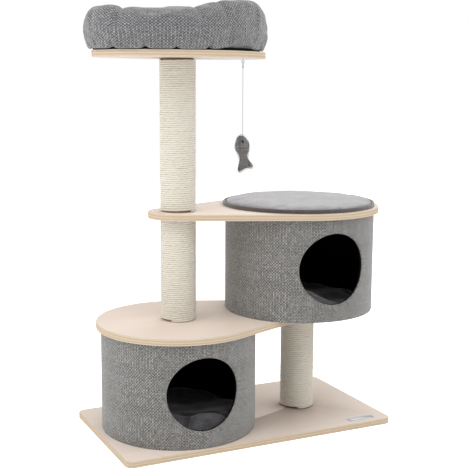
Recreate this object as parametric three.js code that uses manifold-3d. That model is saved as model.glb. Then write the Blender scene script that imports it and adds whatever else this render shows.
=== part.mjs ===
// A cat tree: a base board, two round dens, three rope-wound posts, three platforms,
// an oval bed on top, a round pad, and a toy fish on a string.
// Millimetres, +Z up, origin at the centre of the base board's underside, openings face -Y.
import * as THREE from 'three';
import { mergeVertices } from 'three/addons/utils/BufferGeometryUtils.js';
import { ParametricGeometry } from 'three/addons/geometries/ParametricGeometry.js';
import Module from 'manifold-3d';

const wasm = await Module();
wasm.setup();

// Boards and storeys
const GAP = 0.3;                  // clearance left between touching pieces
const BOARD = 16;                 // plywood thickness
const BASE_LENGTH = 740;
const BASE_WIDTH = 405;
const BASE_CORNER = 20;
const LEFT_AXIS = -157;           // lower den, middle post and top post stand on this axis
const RIGHT_AXIS = 193;           // short post and upper den stand on this axis
const STOREY = 262;               // height of a den, and of the post beside it
const TOP_POST = 379;
const PLATFORM_RADIUS = 210;      // broad end, over a den
const PLATFORM_TIP = 76;          // narrow end, over or under a post
const TOP_HALF_LENGTH = 222;      // oval top board
const TOP_HALF_WIDTH = 150;
const TOP_OFFSET = 8;             // the oval's centre, right of the left axis

// Dens
const DEN_RADIUS = 198;
const COVER_THICK = 1.7;
const WALL_THICK = 5;
const LINING_THICK = 1.7;
const DISC_THICK = 9;
const OPENING_RADIUS = 91.5;
const OPENING_HEIGHT = 135;       // from the board under the den to the opening's centre
const DEN_CUSHION_RADIUS = 172;
const DEN_CUSHION_HEIGHT = 50;

// Posts
const POST_RADIUS = 45;           // outside of the rope
const ROPE_THICK = 5.2;
const CORE_THICK = 4;
const PLUG_HEIGHT = 20;
const INSERT_RADIUS = 6;
const INSERT_HEIGHT = 16;

// Fasteners
const BOLT = { shank: 4, head: 11, headHeight: 4.2, reach: 20, sides: 12 };
const SCREW = { shank: 2, head: 4.2, headHeight: 2.4, reach: 12, sides: 8 };
const BOLT_RECESS = 5;
const SCREW_RECESS = 3;
const HOLE_CLEARANCE = 0.5;       // added to a fastener's radius in the wood

// Bed on the top board
const BED_OFFSET = -7;            // the bed's centre, from the top board's centre
const BED_HALF_LENGTH = 232;
const BED_HALF_WIDTH = 160;
const BOLSTER_WIDTH = 84;
const BOLSTER_HEIGHT = 104;
const BED_PANEL_THICK = 6;
const BED_PANEL_INSET = 20;
const BED_CUSHION_HEIGHT = 36;

// Pad on the upper platform
const PAD_RADIUS = 203;
const PAD_OFFSET = -3;
const PAD_HEIGHT = 15.5;
const PIPING_RADIUS = 4.3;

// Toy
const TOY_X = 22.5;
const EYE_RING = 3.5;             // centre line radius of the screw eye
const EYE_WIRE = 1;
const EYE_DROP = 6;               // ring centre below the top board
const EYE_SHANK = 9;              // thread inside the board
const KNOT_DROP = 10.5;           // knot centre below the pivot
const KNOT_RADIUS = 2.4;
const STRING_RADIUS = 0.75;
const STRING_STEP = 4;
const FISH_DROP = 181.5;          // fish's nose below the pivot
const FISH_THICK = 14;
const FISH_PUFF = 4;              // rounded edge of the stuffed fish
const FISH_TURN = -25;            // degrees about the string

// Plate on the base
const PLATE = { length: 75, width: 19, thick: 1, x: 290.5, y: -174 };

const baseTop = BOARD;
const lowerPlatformBottom = baseTop + STOREY;
const lowerPlatformTop = lowerPlatformBottom + BOARD;
const upperPlatformBottom = lowerPlatformTop + STOREY;
const upperPlatformTop = upperPlatformBottom + BOARD;
const topBoardBottom = upperPlatformTop + TOP_POST;
const topBoardTop = topBoardBottom + BOARD;
const topCentre = LEFT_AXIS + TOP_OFFSET;

const FINISH = {
  plywood: { color: 0xdccfc2, roughness: 0.6, metalness: 0 },
  cover: { color: 0x8f908e, roughness: 0.95, metalness: 0 },
  bentPly: { color: 0xc9b18c, roughness: 0.75, metalness: 0 },
  felt: { color: 0x1b1a1c, roughness: 1, metalness: 0 },
  linedBoard: { color: 0x1d1c1e, roughness: 1, metalness: 0 },
  plush: { color: 0x77737c, roughness: 1, metalness: 0 },
  padPlush: { color: 0xb9b9ba, roughness: 1, metalness: 0 },
  piping: { color: 0x564d4f, roughness: 0.9, metalness: 0 },
  sisal: { color: 0xe9e0cd, roughness: 0.9, metalness: 0 },
  cardboard: { color: 0xa58d6b, roughness: 0.9, metalness: 0 },
  steel: { color: 0x9a9c9f, roughness: 0.35, metalness: 1 },
  plate: { color: 0xc3c6cc, roughness: 0.3, metalness: 1 },
  string: { color: 0xf1efe9, roughness: 0.9, metalness: 0 },
};

const catTree = new THREE.Group();

/** Add one named piece to the tree, in a material of its own. */
function add(name, geometry, finish, place = {}) {
  const mesh = new THREE.Mesh(geometry, new THREE.MeshStandardMaterial(FINISH[finish]));
  mesh.name = name;
  mesh.position.set(place.x ?? 0, place.y ?? 0, place.z ?? 0);
  mesh.rotation.z = THREE.MathUtils.degToRad(place.turn ?? 0);
  catTree.add(mesh);
}

/** A closed geometry as a solid that can be cut and joined. */
function toSolid(geometry) {
  const bare = geometry.index ? geometry.clone() : geometry;
  bare.deleteAttribute('normal');
  bare.deleteAttribute('uv');
  const merged = mergeVertices(bare, 1e-4);
  return new wasm.Manifold(new wasm.Mesh({
    numProp: 3,
    vertProperties: new Float32Array(merged.attributes.position.array),
    triVerts: new Uint32Array(merged.index.array),
  }));
}

/** A solid back as a geometry. */
function toGeometry(solid) {
  const mesh = solid.getMesh();
  const geometry = new THREE.BufferGeometry();
  geometry.setAttribute('position', new THREE.BufferAttribute(new Float32Array(mesh.vertProperties), 3));
  geometry.setIndex(new THREE.BufferAttribute(new Uint32Array(mesh.triVerts), 1));
  geometry.computeVertexNormals();
  return geometry;
}

/** The geometry with every tool taken out of it. */
function cut(geometry, tools) {
  let solid = toSolid(geometry);
  for (const tool of tools) {
    solid = solid.subtract(toSolid(tool));
  }
  return toGeometry(solid);
}

/** A profile of [radius, height] points turned about the Z axis. */
function turned(profile, sides) {
  const points = profile.map(([radius, height]) => new THREE.Vector2(radius, height));
  const geometry = new THREE.LatheGeometry(points, sides);
  geometry.rotateX(Math.PI / 2);
  return geometry;
}

/** A straight tube about the Z axis. */
function tube(outer, inner, low, high, sides) {
  return turned([[inner, low], [outer, low], [outer, high], [inner, high], [inner, low]], sides);
}

/** A drill of the given radius between two heights. */
function drill(radius, low, high, x, y, sides) {
  const geometry = new THREE.CylinderGeometry(radius, radius, high - low, sides);
  geometry.rotateX(Math.PI / 2);
  geometry.translate(x, y, (low + high) / 2);
  return geometry;
}

/** A flat board cut to a shape, lying between z = 0 and its thickness. */
function board(shape, thick = BOARD, arcSteps = 16) {
  return new THREE.ExtrudeGeometry(shape, { depth: thick, bevelEnabled: false, curveSegments: arcSteps });
}

/** A bolt or screw along Z: its head sits on `seat` and its point ends at `tip`. */
function fastener(kind, seat, tip) {
  const headEnd = seat + Math.sign(seat - tip) * kind.headHeight;
  const profile = [[0, tip], [kind.shank, tip], [kind.shank, seat], [kind.head, seat], [kind.head, headEnd], [0, headEnd]];
  return turned(seat > tip ? profile : profile.reverse(), kind.sides);
}

/** A cushion: flat underneath, round at the rim and crowned on top. */
function cushion(radius, height, rim, sides) {
  const profile = [[0, 0], [radius - rim, 0]];
  const rimSteps = 3;
  for (let step = 1; step <= rimSteps; step += 1) {
    const angle = (Math.PI * step) / (rimSteps + 1);
    profile.push([radius - rim + rim * Math.sin(angle), (height * 0.8 * (1 - Math.cos(angle))) / 2]);
  }
  profile.push([radius - rim, height * 0.8], [radius * 0.5, height * 0.96], [0, height]);
  return turned(profile, sides);
}

// ---------------------------------------------------------------- boards

/** Rectangle with rounded corners, centred on the origin. */
function roundedRectangle(length, width, corner) {
  const right = length / 2 - corner;
  const back = width / 2 - corner;
  const shape = new THREE.Shape();
  shape.absarc(right, back, corner, 0, Math.PI / 2);
  shape.absarc(-right, back, corner, Math.PI / 2, Math.PI);
  shape.absarc(-right, -back, corner, Math.PI, Math.PI * 1.5);
  shape.absarc(right, -back, corner, Math.PI * 1.5, Math.PI * 2);
  return shape;
}

/** Teardrop platform: a broad arc and a narrow arc joined by their common tangents. */
function teardrop(broadX, tipX) {
  const lean = Math.asin((PLATFORM_RADIUS - PLATFORM_TIP) / Math.abs(tipX - broadX));
  const reach = Math.PI / 2 + lean;
  const towards = tipX > broadX ? Math.PI : 0;
  const shape = new THREE.Shape();
  shape.absarc(broadX, 0, PLATFORM_RADIUS, towards - reach, towards + reach);
  shape.absarc(tipX, 0, PLATFORM_TIP, towards + reach, towards + 2 * Math.PI - reach);
  return shape;
}

/** Oval outline centred on (0, 0). */
function oval(halfLength, halfWidth) {
  const shape = new THREE.Shape();
  shape.absellipse(0, 0, halfLength, halfWidth, 0, Math.PI * 2);
  return shape;
}

/** Screw places round a den's axis, at a given radius. */
function ringPlaces(count, radius, firstAngle) {
  return Array.from({ length: count }, (unused, index) => {
    const angle = THREE.MathUtils.degToRad(firstAngle + (360 * index) / count);
    return [radius * Math.cos(angle), radius * Math.sin(angle)];
  });
}

const SCREW_CIRCLE = 130;
const DENS = {
  lower: {
    x: LEFT_AXIS,
    z: baseTop,
    turn: -3.5,
    floorScrews: ringPlaces(3, SCREW_CIRCLE, 90),
    roofScrews: ringPlaces(2, SCREW_CIRCLE, 90),
    floorBolt: false,
    roofBolt: true,
  },
  upper: {
    x: RIGHT_AXIS,
    z: lowerPlatformTop,
    turn: -1.5,
    floorScrews: [[-90, 80], [-90, -80]],
    roofScrews: ringPlaces(3, SCREW_CIRCLE, 90),
    floorBolt: true,
    roofBolt: false,
  },
};

const boltHole = BOLT.shank + HOLE_CLEARANCE;
const screwHole = SCREW.shank + HOLE_CLEARANCE;
const headHole = BOLT.head + HOLE_CLEARANCE;

/** Bolt hole right through a board. */
const throughHole = (x) => drill(boltHole, -1, BOARD + 1, x, 0, BOLT.sides);

/** Blind screw holes from a board's top (side 1) or underside (side -1). */
function screwHoles(places, centreX, side) {
  const depth = SCREW.reach + HOLE_CLEARANCE;
  const [low, high] = side > 0 ? [BOARD - depth, BOARD + 1] : [-1, depth];
  return places.map(([x, y]) => drill(screwHole, low, high, centreX + x, y, SCREW.sides));
}

add('base_board', cut(board(roundedRectangle(BASE_LENGTH, BASE_WIDTH, BASE_CORNER), BOARD, 4), [
  throughHole(RIGHT_AXIS),
  drill(headHole, -1, BOLT_RECESS + 1, RIGHT_AXIS, 0, BOLT.sides),
  ...screwHoles(DENS.lower.floorScrews, LEFT_AXIS, 1),
]), 'plywood');

add('lower_platform', cut(board(teardrop(LEFT_AXIS, RIGHT_AXIS)), [
  throughHole(LEFT_AXIS),
  throughHole(RIGHT_AXIS),
  ...screwHoles(DENS.lower.roofScrews, LEFT_AXIS, -1),
  ...screwHoles(DENS.upper.floorScrews, RIGHT_AXIS, 1),
]), 'plywood', { z: lowerPlatformBottom });

add('upper_platform', cut(board(teardrop(RIGHT_AXIS, LEFT_AXIS)), [
  throughHole(LEFT_AXIS),
  ...screwHoles(DENS.upper.roofScrews, RIGHT_AXIS, -1),
]), 'plywood', { z: upperPlatformBottom });

add('top_board', cut(board(oval(TOP_HALF_LENGTH, TOP_HALF_WIDTH), BOARD, 24), [
  throughHole(-TOP_OFFSET),
  drill(headHole, BOARD - BOLT_RECESS - HOLE_CLEARANCE, BOARD + 1, -TOP_OFFSET, 0, BOLT.sides),
  drill(EYE_WIRE + HOLE_CLEARANCE, -1, EYE_SHANK + 1, TOY_X - topCentre, 0, SCREW.sides),
]), 'plywood', { x: topCentre, z: topBoardBottom });

// ---------------------------------------------------------------- dens

const DEN_SIDES = 40;
const wallOuter = DEN_RADIUS - COVER_THICK - GAP;
const wallInner = wallOuter - WALL_THICK;
const liningOuter = wallInner - GAP;
const discRadius = wallInner - 0.4;

/** The round opening as a horizontal drill through the front of a den. */
function openingDrill(turn) {
  const geometry = new THREE.CylinderGeometry(OPENING_RADIUS, OPENING_RADIUS, 100, 32);
  geometry.translate(0, -DEN_RADIUS, 0);
  geometry.rotateZ(THREE.MathUtils.degToRad(turn));
  geometry.translate(0, 0, OPENING_HEIGHT);
  return geometry;
}

/** Floor or roof disc with its fastener holes recessed on the face inside the den. */
function disc(low, inside, screws, hasBolt) {
  const high = low + DISC_THICK;
  const recess = (depth) => (inside > 0 ? [high - depth, high + 1] : [low - 1, low + depth]);
  const tools = [];
  for (const [x, y] of screws) {
    tools.push(drill(screwHole, low - 1, high + 1, x, y, SCREW.sides));
    tools.push(drill(SCREW.head + HOLE_CLEARANCE, ...recess(SCREW_RECESS), x, y, SCREW.sides));
  }
  if (hasBolt) {
    tools.push(drill(boltHole, low - 1, high + 1, 0, 0, BOLT.sides));
    tools.push(drill(headHole, ...recess(BOLT_RECESS), 0, 0, BOLT.sides));
  }
  return cut(turned([[0, low], [discRadius, low], [discRadius, high], [0, high]], DEN_SIDES), tools);
}

/** One den: fabric cover, bent wall, felt lining, two discs, their screws and a cushion. */
function den(name, { x, z, turn, floorScrews, roofScrews, floorBolt, roofBolt }) {
  const floorTop = GAP + DISC_THICK;
  const roofBottom = STOREY - GAP - DISC_THICK;
  const opening = openingDrill(turn);
  const place = { x, z };
  add(`${name}_den_cover`, cut(tube(DEN_RADIUS, DEN_RADIUS - COVER_THICK, GAP, STOREY - GAP, DEN_SIDES),
    [opening]), 'cover', place);
  add(`${name}_den_wall`, cut(tube(wallOuter, wallInner, GAP, STOREY - GAP, DEN_SIDES),
    [opening]), 'bentPly', place);
  add(`${name}_den_lining`, cut(tube(liningOuter, liningOuter - LINING_THICK, floorTop + GAP,
    roofBottom - GAP, DEN_SIDES), [opening]), 'felt', place);
  add(`${name}_den_floor`, disc(GAP, 1, floorScrews, floorBolt), 'linedBoard', place);
  add(`${name}_den_roof`, disc(roofBottom, -1, roofScrews, roofBolt), 'linedBoard', place);
  add(`${name}_den_cushion`, cushion(DEN_CUSHION_RADIUS, DEN_CUSHION_HEIGHT, 24, 32), 'plush',
    { x, z: z + floorTop + GAP });
  floorScrews.forEach(([dx, dy], index) => {
    add(`${name}_den_floor_screw_${index + 1}`, fastener(SCREW, floorTop - SCREW_RECESS + GAP, -SCREW.reach),
      'steel', { x: x + dx, y: dy, z });
  });
  roofScrews.forEach(([dx, dy], index) => {
    add(`${name}_den_roof_screw_${index + 1}`,
      fastener(SCREW, roofBottom + SCREW_RECESS - GAP, STOREY + SCREW.reach), 'steel', { x: x + dx, y: dy, z });
  });
}

den('lower', DENS.lower);
den('upper', DENS.upper);

// ---------------------------------------------------------------- posts

const POST_SIDES = 24;
const coreOuter = POST_RADIUS - ROPE_THICK - GAP;
const coreInner = coreOuter - CORE_THICK;

/** One post: rope round a card tube, with a wooden plug and a threaded insert at each end. */
function post(name, x, z, height) {
  const place = { x, z };
  add(`${name}_post_sisal`, tube(POST_RADIUS, POST_RADIUS - ROPE_THICK, GAP, height - GAP, POST_SIDES),
    'sisal', place);
  add(`${name}_post_core`, tube(coreOuter, coreInner, GAP, height - GAP, POST_SIDES), 'cardboard', place);
  const ends = { bottom: 0, top: height - PLUG_HEIGHT - 2 * GAP };
  for (const [end, low] of Object.entries(ends)) {
    const insertLow = low + GAP + (end === 'top' ? PLUG_HEIGHT - INSERT_HEIGHT : 0);
    add(`${name}_post_${end}_plug`, tube(coreInner - GAP, INSERT_RADIUS + HOLE_CLEARANCE, low + GAP,
      low + GAP + PLUG_HEIGHT, POST_SIDES), 'bentPly', place);
    add(`${name}_post_${end}_insert`, tube(INSERT_RADIUS, boltHole, insertLow, insertLow + INSERT_HEIGHT,
      BOLT.sides), 'steel', place);
  }
}

post('short', RIGHT_AXIS, baseTop, STOREY);
post('middle', LEFT_AXIS, lowerPlatformTop, STOREY);
post('top', LEFT_AXIS, upperPlatformTop, TOP_POST);

add('base_bolt', fastener(BOLT, BOLT_RECESS + 1 - GAP, baseTop + BOLT.reach), 'steel', { x: RIGHT_AXIS });
add('den_roof_bolt', fastener(BOLT, lowerPlatformBottom - GAP - DISC_THICK + BOLT_RECESS - GAP,
  lowerPlatformTop + BOLT.reach), 'steel', { x: LEFT_AXIS });
add('den_floor_bolt', fastener(BOLT, lowerPlatformTop + GAP + DISC_THICK - BOLT_RECESS + GAP,
  lowerPlatformBottom - BOLT.reach), 'steel', { x: RIGHT_AXIS });
add('platform_stud', turned([[0, upperPlatformBottom - BOLT.reach], [BOLT.shank, upperPlatformBottom - BOLT.reach],
  [BOLT.shank, upperPlatformTop + BOLT.reach], [0, upperPlatformTop + BOLT.reach]], BOLT.sides), 'steel',
{ x: LEFT_AXIS });
add('top_bolt', fastener(BOLT, topBoardTop - BOLT_RECESS - GAP, topBoardBottom - BOLT.reach), 'steel',
  { x: LEFT_AXIS });

// ---------------------------------------------------------------- bed

/** A power of a cosine or sine that keeps its sign, for a soft squarish section. */
const softened = (value) => Math.sign(value) * Math.abs(value) ** 0.8;

/** The stuffed oval ring round the bed, with its lowest point at z = 0. */
function bolster(around, across) {
  const half = BOLSTER_WIDTH / 2;
  return new ParametricGeometry((u, v, target) => {
    const turn = 2 * Math.PI * u;
    const roll = 2 * Math.PI * v;
    const outward = half * softened(Math.cos(roll)) - half;
    target.set(
      (BED_HALF_LENGTH + outward) * Math.cos(turn),
      (BED_HALF_WIDTH + outward) * Math.sin(turn),
      (BOLSTER_HEIGHT / 2) * (1 + softened(Math.sin(roll))),
    );
  }, around, across);
}

/** An oval slab between z = 0 and its height, with its top edge drawn in. */
function ovalSlab(halfLength, halfWidth, height, soft) {
  const geometry = cushion(halfLength, height, soft, 32);
  geometry.scale(1, halfWidth / halfLength, 1);
  return geometry;
}

const bedPlace = { x: topCentre + BED_OFFSET };
const bedPanelTop = topBoardTop + GAP + BED_PANEL_THICK;
const bedPanel = board(oval(BED_HALF_LENGTH - BED_PANEL_INSET, BED_HALF_WIDTH - BED_PANEL_INSET),
  BED_PANEL_THICK, 12);
add('bed_base_panel', bedPanel, 'felt', { ...bedPlace, z: topBoardTop + GAP });
add('bed_bolster', toGeometry(toSolid(bolster(36, 12))), 'cover', { ...bedPlace, z: bedPanelTop + GAP });
add('bed_cushion', ovalSlab(BED_HALF_LENGTH - BOLSTER_WIDTH - 2, BED_HALF_WIDTH - BOLSTER_WIDTH - 2,
  BED_CUSHION_HEIGHT, 14), 'padPlush', { ...bedPlace, z: bedPanelTop + GAP });

// ---------------------------------------------------------------- pad

const padPlace = { x: RIGHT_AXIS + PAD_OFFSET, z: upperPlatformTop + GAP };
const pipingCentre = PAD_RADIUS - PIPING_RADIUS;
const piping = new THREE.TorusGeometry(pipingCentre, PIPING_RADIUS, 8, 40);
piping.translate(0, 0, PIPING_RADIUS);
add('pad_piping', piping, 'piping', padPlace);
add('pad_cushion', cushion(pipingCentre - PIPING_RADIUS - 2 * GAP, PAD_HEIGHT, 6, 40), 'padPlush', padPlace);

// ---------------------------------------------------------------- toy

const pivot = topBoardBottom - EYE_DROP - EYE_RING;

/** Screw eye: a ring on a short threaded shank, its ring centre at the origin. */
function screwEye() {
  const ring = new THREE.TorusGeometry(EYE_RING, EYE_WIRE, 8, 16);
  ring.rotateX(Math.PI / 2);
  const shank = drill(EYE_WIRE, EYE_RING - 0.5, EYE_DROP + EYE_SHANK, 0, 0, SCREW.sides);
  return toGeometry(toSolid(ring).add(toSolid(shank)));
}

/** Fish outline, nose at the origin and tail down. */
function fishOutline() {
  const inset = FISH_PUFF;
  const nose = inset + 1;
  const shape = new THREE.Shape();
  shape.moveTo(0, -nose);
  shape.bezierCurveTo(14 - inset, -6, 19 - inset, -20, 19 - inset, -34);
  shape.bezierCurveTo(19 - inset, -48, 11 - inset, -58, 10 - inset, -67);
  shape.lineTo(19 - inset, -95 + inset);
  shape.lineTo(0, -84 + inset);
  shape.lineTo(inset - 19, -95 + inset);
  shape.lineTo(inset - 10, -67);
  shape.bezierCurveTo(inset - 11, -58, inset - 19, -48, inset - 19, -34);
  shape.bezierCurveTo(inset - 19, -20, inset - 14, -6, 0, -nose);
  return shape;
}

const fish = new THREE.ExtrudeGeometry(fishOutline(), {
  depth: FISH_THICK - 2 * FISH_PUFF,
  bevelThickness: FISH_PUFF,
  bevelSize: FISH_PUFF,
  bevelSegments: 2,
  curveSegments: 5,
});
fish.translate(0, 0, FISH_PUFF - FISH_THICK / 2);
fish.rotateX(Math.PI / 2);

const knotLow = pivot - KNOT_DROP - KNOT_RADIUS;
const stringLow = pivot - FISH_DROP + GAP;
const stringSteps = Math.round((knotLow - GAP - stringLow) / STRING_STEP);
const stringSection = new THREE.Shape();
stringSection.absarc(0, 0, STRING_RADIUS, 0, Math.PI * 2);
const stringPath = new THREE.LineCurve3(
  new THREE.Vector3(TOY_X, 0, knotLow - GAP),
  new THREE.Vector3(TOY_X, 0, stringLow),
);
const string = new THREE.ExtrudeGeometry(stringSection, {
  extrudePath: stringPath,
  steps: stringSteps,
  curveSegments: 4,
});

add('screw_eye', screwEye(), 'steel', { x: TOY_X, z: topBoardBottom - EYE_DROP });
add('toy_knot', new THREE.SphereGeometry(KNOT_RADIUS, 10, 6), 'string', { x: TOY_X, z: pivot - KNOT_DROP });
add('toy_string', string, 'string');
add('toy_fish', toGeometry(toSolid(fish)), 'cover', { x: TOY_X, z: pivot - FISH_DROP, turn: FISH_TURN });

// ---------------------------------------------------------------- plate

const plate = new THREE.BoxGeometry(PLATE.length, PLATE.width, PLATE.thick);
add('label_plate', plate, 'plate', { x: PLATE.x, y: PLATE.y, z: baseTop + GAP + PLATE.thick / 2 });

export default catTree;
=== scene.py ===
"""Dresses a cat tree: plywood boards, fabric dens, rope-wound posts, a bed, a pad and a toy fish.

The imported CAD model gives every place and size. Each sub-assembly is a class that reads its sizes
from the frame, builds its visible pieces in metres, and dresses them in procedural finishes.
"""

import logging
import math
from collections.abc import Callable, Sequence
from dataclasses import dataclass, field
from enum import Enum

import bmesh
import bpy
import numpy as np
from mathutils import Matrix, Vector


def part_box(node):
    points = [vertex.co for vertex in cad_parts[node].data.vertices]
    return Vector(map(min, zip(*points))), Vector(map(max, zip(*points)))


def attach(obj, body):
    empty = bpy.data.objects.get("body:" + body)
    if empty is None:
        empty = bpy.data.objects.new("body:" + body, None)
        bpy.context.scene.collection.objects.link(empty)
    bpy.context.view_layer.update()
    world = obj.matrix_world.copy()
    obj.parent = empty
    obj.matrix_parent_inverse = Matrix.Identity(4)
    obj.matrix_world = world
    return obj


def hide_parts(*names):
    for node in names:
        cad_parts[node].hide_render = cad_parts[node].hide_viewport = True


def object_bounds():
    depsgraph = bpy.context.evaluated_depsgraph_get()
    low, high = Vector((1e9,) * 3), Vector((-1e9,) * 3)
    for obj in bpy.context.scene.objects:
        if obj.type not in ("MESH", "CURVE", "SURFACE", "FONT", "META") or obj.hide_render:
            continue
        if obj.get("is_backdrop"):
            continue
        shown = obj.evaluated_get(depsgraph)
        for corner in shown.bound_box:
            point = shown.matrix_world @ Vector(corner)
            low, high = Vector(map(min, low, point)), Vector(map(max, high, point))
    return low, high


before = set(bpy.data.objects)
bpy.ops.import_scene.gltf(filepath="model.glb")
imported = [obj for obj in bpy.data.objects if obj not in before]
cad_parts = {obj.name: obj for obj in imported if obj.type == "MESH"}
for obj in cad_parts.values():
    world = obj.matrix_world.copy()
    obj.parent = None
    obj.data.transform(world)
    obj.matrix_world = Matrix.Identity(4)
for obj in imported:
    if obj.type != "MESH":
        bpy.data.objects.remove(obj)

CAD_LOW, CAD_HIGH = (list(corner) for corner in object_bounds())

Array = np.ndarray
Socket = bpy.types.NodeSocket
Colour = tuple[float, float, float]

log = logging.getLogger("cat_tree")

MM = 0.001
TURN = 2 * math.pi
QUARTER = math.pi / 2
TINY = 1e-9


# ---------------------------------------------------------------- meshes


def xyz(*parts: Array | float) -> Array:
    """Put X, Y and Z arrays together as points, shape (..., 3)."""
    return np.stack(np.broadcast_arrays(*parts), axis=-1)


def circle(angles: Array) -> Array:
    """Points on the unit circle at the given angles, shape (n, 2)."""
    return np.stack([np.cos(angles), np.sin(angles)], axis=1)


def round_steps(count: int) -> Array:
    """Even angles once round, without the last."""
    return np.linspace(0, TURN, count, endpoint=False)


def unit_rows(vectors: Array) -> Array:
    """Vectors of length 1, row by row."""
    return vectors / np.linalg.norm(vectors, axis=1, keepdims=True)


def run_length(points: Array) -> Array:
    """How far along a line of points each point lies."""
    steps = np.linalg.norm(np.diff(points, axis=0), axis=1)
    return np.concatenate(([0], np.cumsum(steps)))


def at_height(points: Array, height: float) -> Array:
    """Flat points lifted to one height."""
    return np.concatenate([points, np.full((len(points), 1), height)], axis=1)


def softened(values: Array, width: int, mode: str) -> Array:
    """Values averaged with their neighbours, padded past both ends in the given way."""
    kernel = np.hanning(width) / np.hanning(width).sum()
    return np.convolve(np.pad(values, width // 2, mode=mode), kernel, mode="valid")


def grid_faces(rows: int, columns: int, wrap_rows: bool = False, wrap_columns: bool = False,
               start: int = 0) -> Array:
    """Join neighbouring points of a grid, stored row by row, into quads.

    Args:
        rows: How many rows of points there are.
        columns: How many points each row has.
        wrap_rows: Whether the last row joins the first.
        wrap_columns: Whether each row closes on itself.
        start: Index of the grid's first point.

    Returns:
        An array of shape (faces, 4).
    """
    row, column = np.meshgrid(
        np.arange(rows if wrap_rows else rows - 1),
        np.arange(columns if wrap_columns else columns - 1),
        indexing="ij",
    )
    above, beside = (row + 1) % rows, (column + 1) % columns
    quads = np.stack([row * columns + column, row * columns + beside,
                      above * columns + beside, above * columns + column], axis=-1)
    return quads.reshape(-1, 4) + start


def mesh_object(name: str, points: Array, face_sets: Sequence[Array], uv: Array | None = None,
                period: tuple[float, float] = (0.0, 0.0), smooth: bool = True) -> bpy.types.Object:
    """Make an object from arrays, with a material slot for each set of faces.

    Args:
        name: The piece's name.
        points: Vertices, shape (n, 3), in metres.
        face_sets: Arrays of shape (faces, corners), one for each material slot.
        uv: Cloth or wood coordinates of each vertex, in metres.
        period: Length after which each coordinate repeats on a closed piece, or 0.
        smooth: Whether the faces are shaded smooth.

    Returns:
        The new object, linked to the scene.
    """
    mesh = bpy.data.meshes.new(name)
    sets = [np.asarray(faces, np.int32) for faces in face_sets]
    corners = np.concatenate([faces.ravel() for faces in sets])
    counts = np.concatenate([np.full(len(faces), faces.shape[1]) for faces in sets])
    starts = np.concatenate(([0], np.cumsum(counts)[:-1])).astype(np.int32)
    mesh.vertices.add(len(points))
    mesh.vertices.foreach_set("co", np.asarray(points, np.float32).ravel())
    mesh.loops.add(len(corners))
    mesh.loops.foreach_set("vertex_index", corners)
    mesh.polygons.add(len(counts))
    mesh.polygons.foreach_set("loop_start", starts)
    slots = np.concatenate([np.full(len(faces), slot) for slot, faces in enumerate(sets)])
    mesh.polygons.foreach_set("material_index", slots.astype(np.int32))
    mesh.polygons.foreach_set("use_smooth", np.full(len(counts), smooth))
    mesh.update(calc_edges=True)
    piece = bpy.data.objects.new(name, mesh)
    bpy.context.scene.collection.objects.link(piece)
    if uv is not None:
        lay_uv(piece, uv, period)
    mesh.validate()
    return piece


def lay_uv(piece: bpy.types.Object, uv: Array, period: tuple[float, float] = (0.0, 0.0)) -> None:
    """Give a mesh its cloth coordinates, unrolled across the place where they repeat.

    Args:
        piece: The mesh object.
        uv: Coordinates of each vertex, shape (n, 2).
        period: Length after which each coordinate repeats, or 0.
    """
    mesh = piece.data
    corners = np.empty(len(mesh.loops), np.int32)
    mesh.loops.foreach_get("vertex_index", corners)
    starts = np.empty(len(mesh.polygons), np.int32)
    totals = np.empty(len(mesh.polygons), np.int32)
    mesh.polygons.foreach_get("loop_start", starts)
    mesh.polygons.foreach_get("loop_total", totals)
    laid = uv[corners].astype(float)
    first = np.repeat(laid[starts], totals, axis=0)
    for axis, length in enumerate(period):
        if length:
            laid[:, axis] -= length * np.round((laid[:, axis] - first[:, axis]) / length)
    layer = mesh.uv_layers.get("cloth") or mesh.uv_layers.new(name="cloth")
    layer.data.foreach_set("uv", laid.astype(np.float32).ravel())


def vertices_of(piece: bpy.types.Object) -> Array:
    """The vertices of a mesh object, shape (n, 3)."""
    points = np.empty(len(piece.data.vertices) * 3, np.float32)
    piece.data.vertices.foreach_get("co", points)
    return points.reshape(-1, 3).astype(float)


def move_vertices(piece: bpy.types.Object, points: Array) -> None:
    """Put a mesh object's vertices at new places."""
    piece.data.vertices.foreach_set("co", points.astype(np.float32).ravel())
    piece.data.update()


def bake_modifiers(piece: bpy.types.Object) -> None:
    """Turn a piece's modifiers into its mesh."""
    graph = bpy.context.evaluated_depsgraph_get()
    mesh = bpy.data.meshes.new_from_object(piece.evaluated_get(graph))
    piece.modifiers.clear()
    piece.data = mesh


def weld(piece: bpy.types.Object, distance: float = 0.02 * MM) -> None:
    """Merge vertices that lie on each other and turn every face outward.

    Args:
        piece: The mesh object.
        distance: How close two vertices lie to be merged; 0 merges none.
    """
    shape = bmesh.new()
    shape.from_mesh(piece.data)
    if distance:
        bmesh.ops.remove_doubles(shape, verts=shape.verts, dist=distance)
    bmesh.ops.recalc_face_normals(shape, faces=shape.faces)
    shape.to_mesh(piece.data)
    shape.free()


def turned(name: str, profile: Sequence[tuple[float, float]], centre: tuple[float, float],
           sides: int = 96) -> bpy.types.Object:
    """Turn a closed or axis-to-axis profile about a vertical axis.

    Args:
        name: The piece's name.
        profile: Points (radius, height); those on the axis have radius 0.
        centre: The axis's X and Y.
        sides: Steps round the axis.

    Returns:
        The new object, with its faces outward.
    """
    outline = np.array(profile)
    angle = round_steps(sides)
    ring = np.stack([np.sin(angle), -np.cos(angle)], axis=1)
    points = np.concatenate([at_height(ring * radius + centre, height)
                             for radius, height in outline])
    widest = outline[:, 0].max()
    uv = np.stack([np.tile(angle * widest, len(outline)),
                   np.repeat(run_length(outline), sides)], axis=1)
    piece = mesh_object(name, points, [grid_faces(len(outline), sides, wrap_columns=True)], uv,
                        (TURN * widest, 0.0))
    weld(piece)
    return piece


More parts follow.
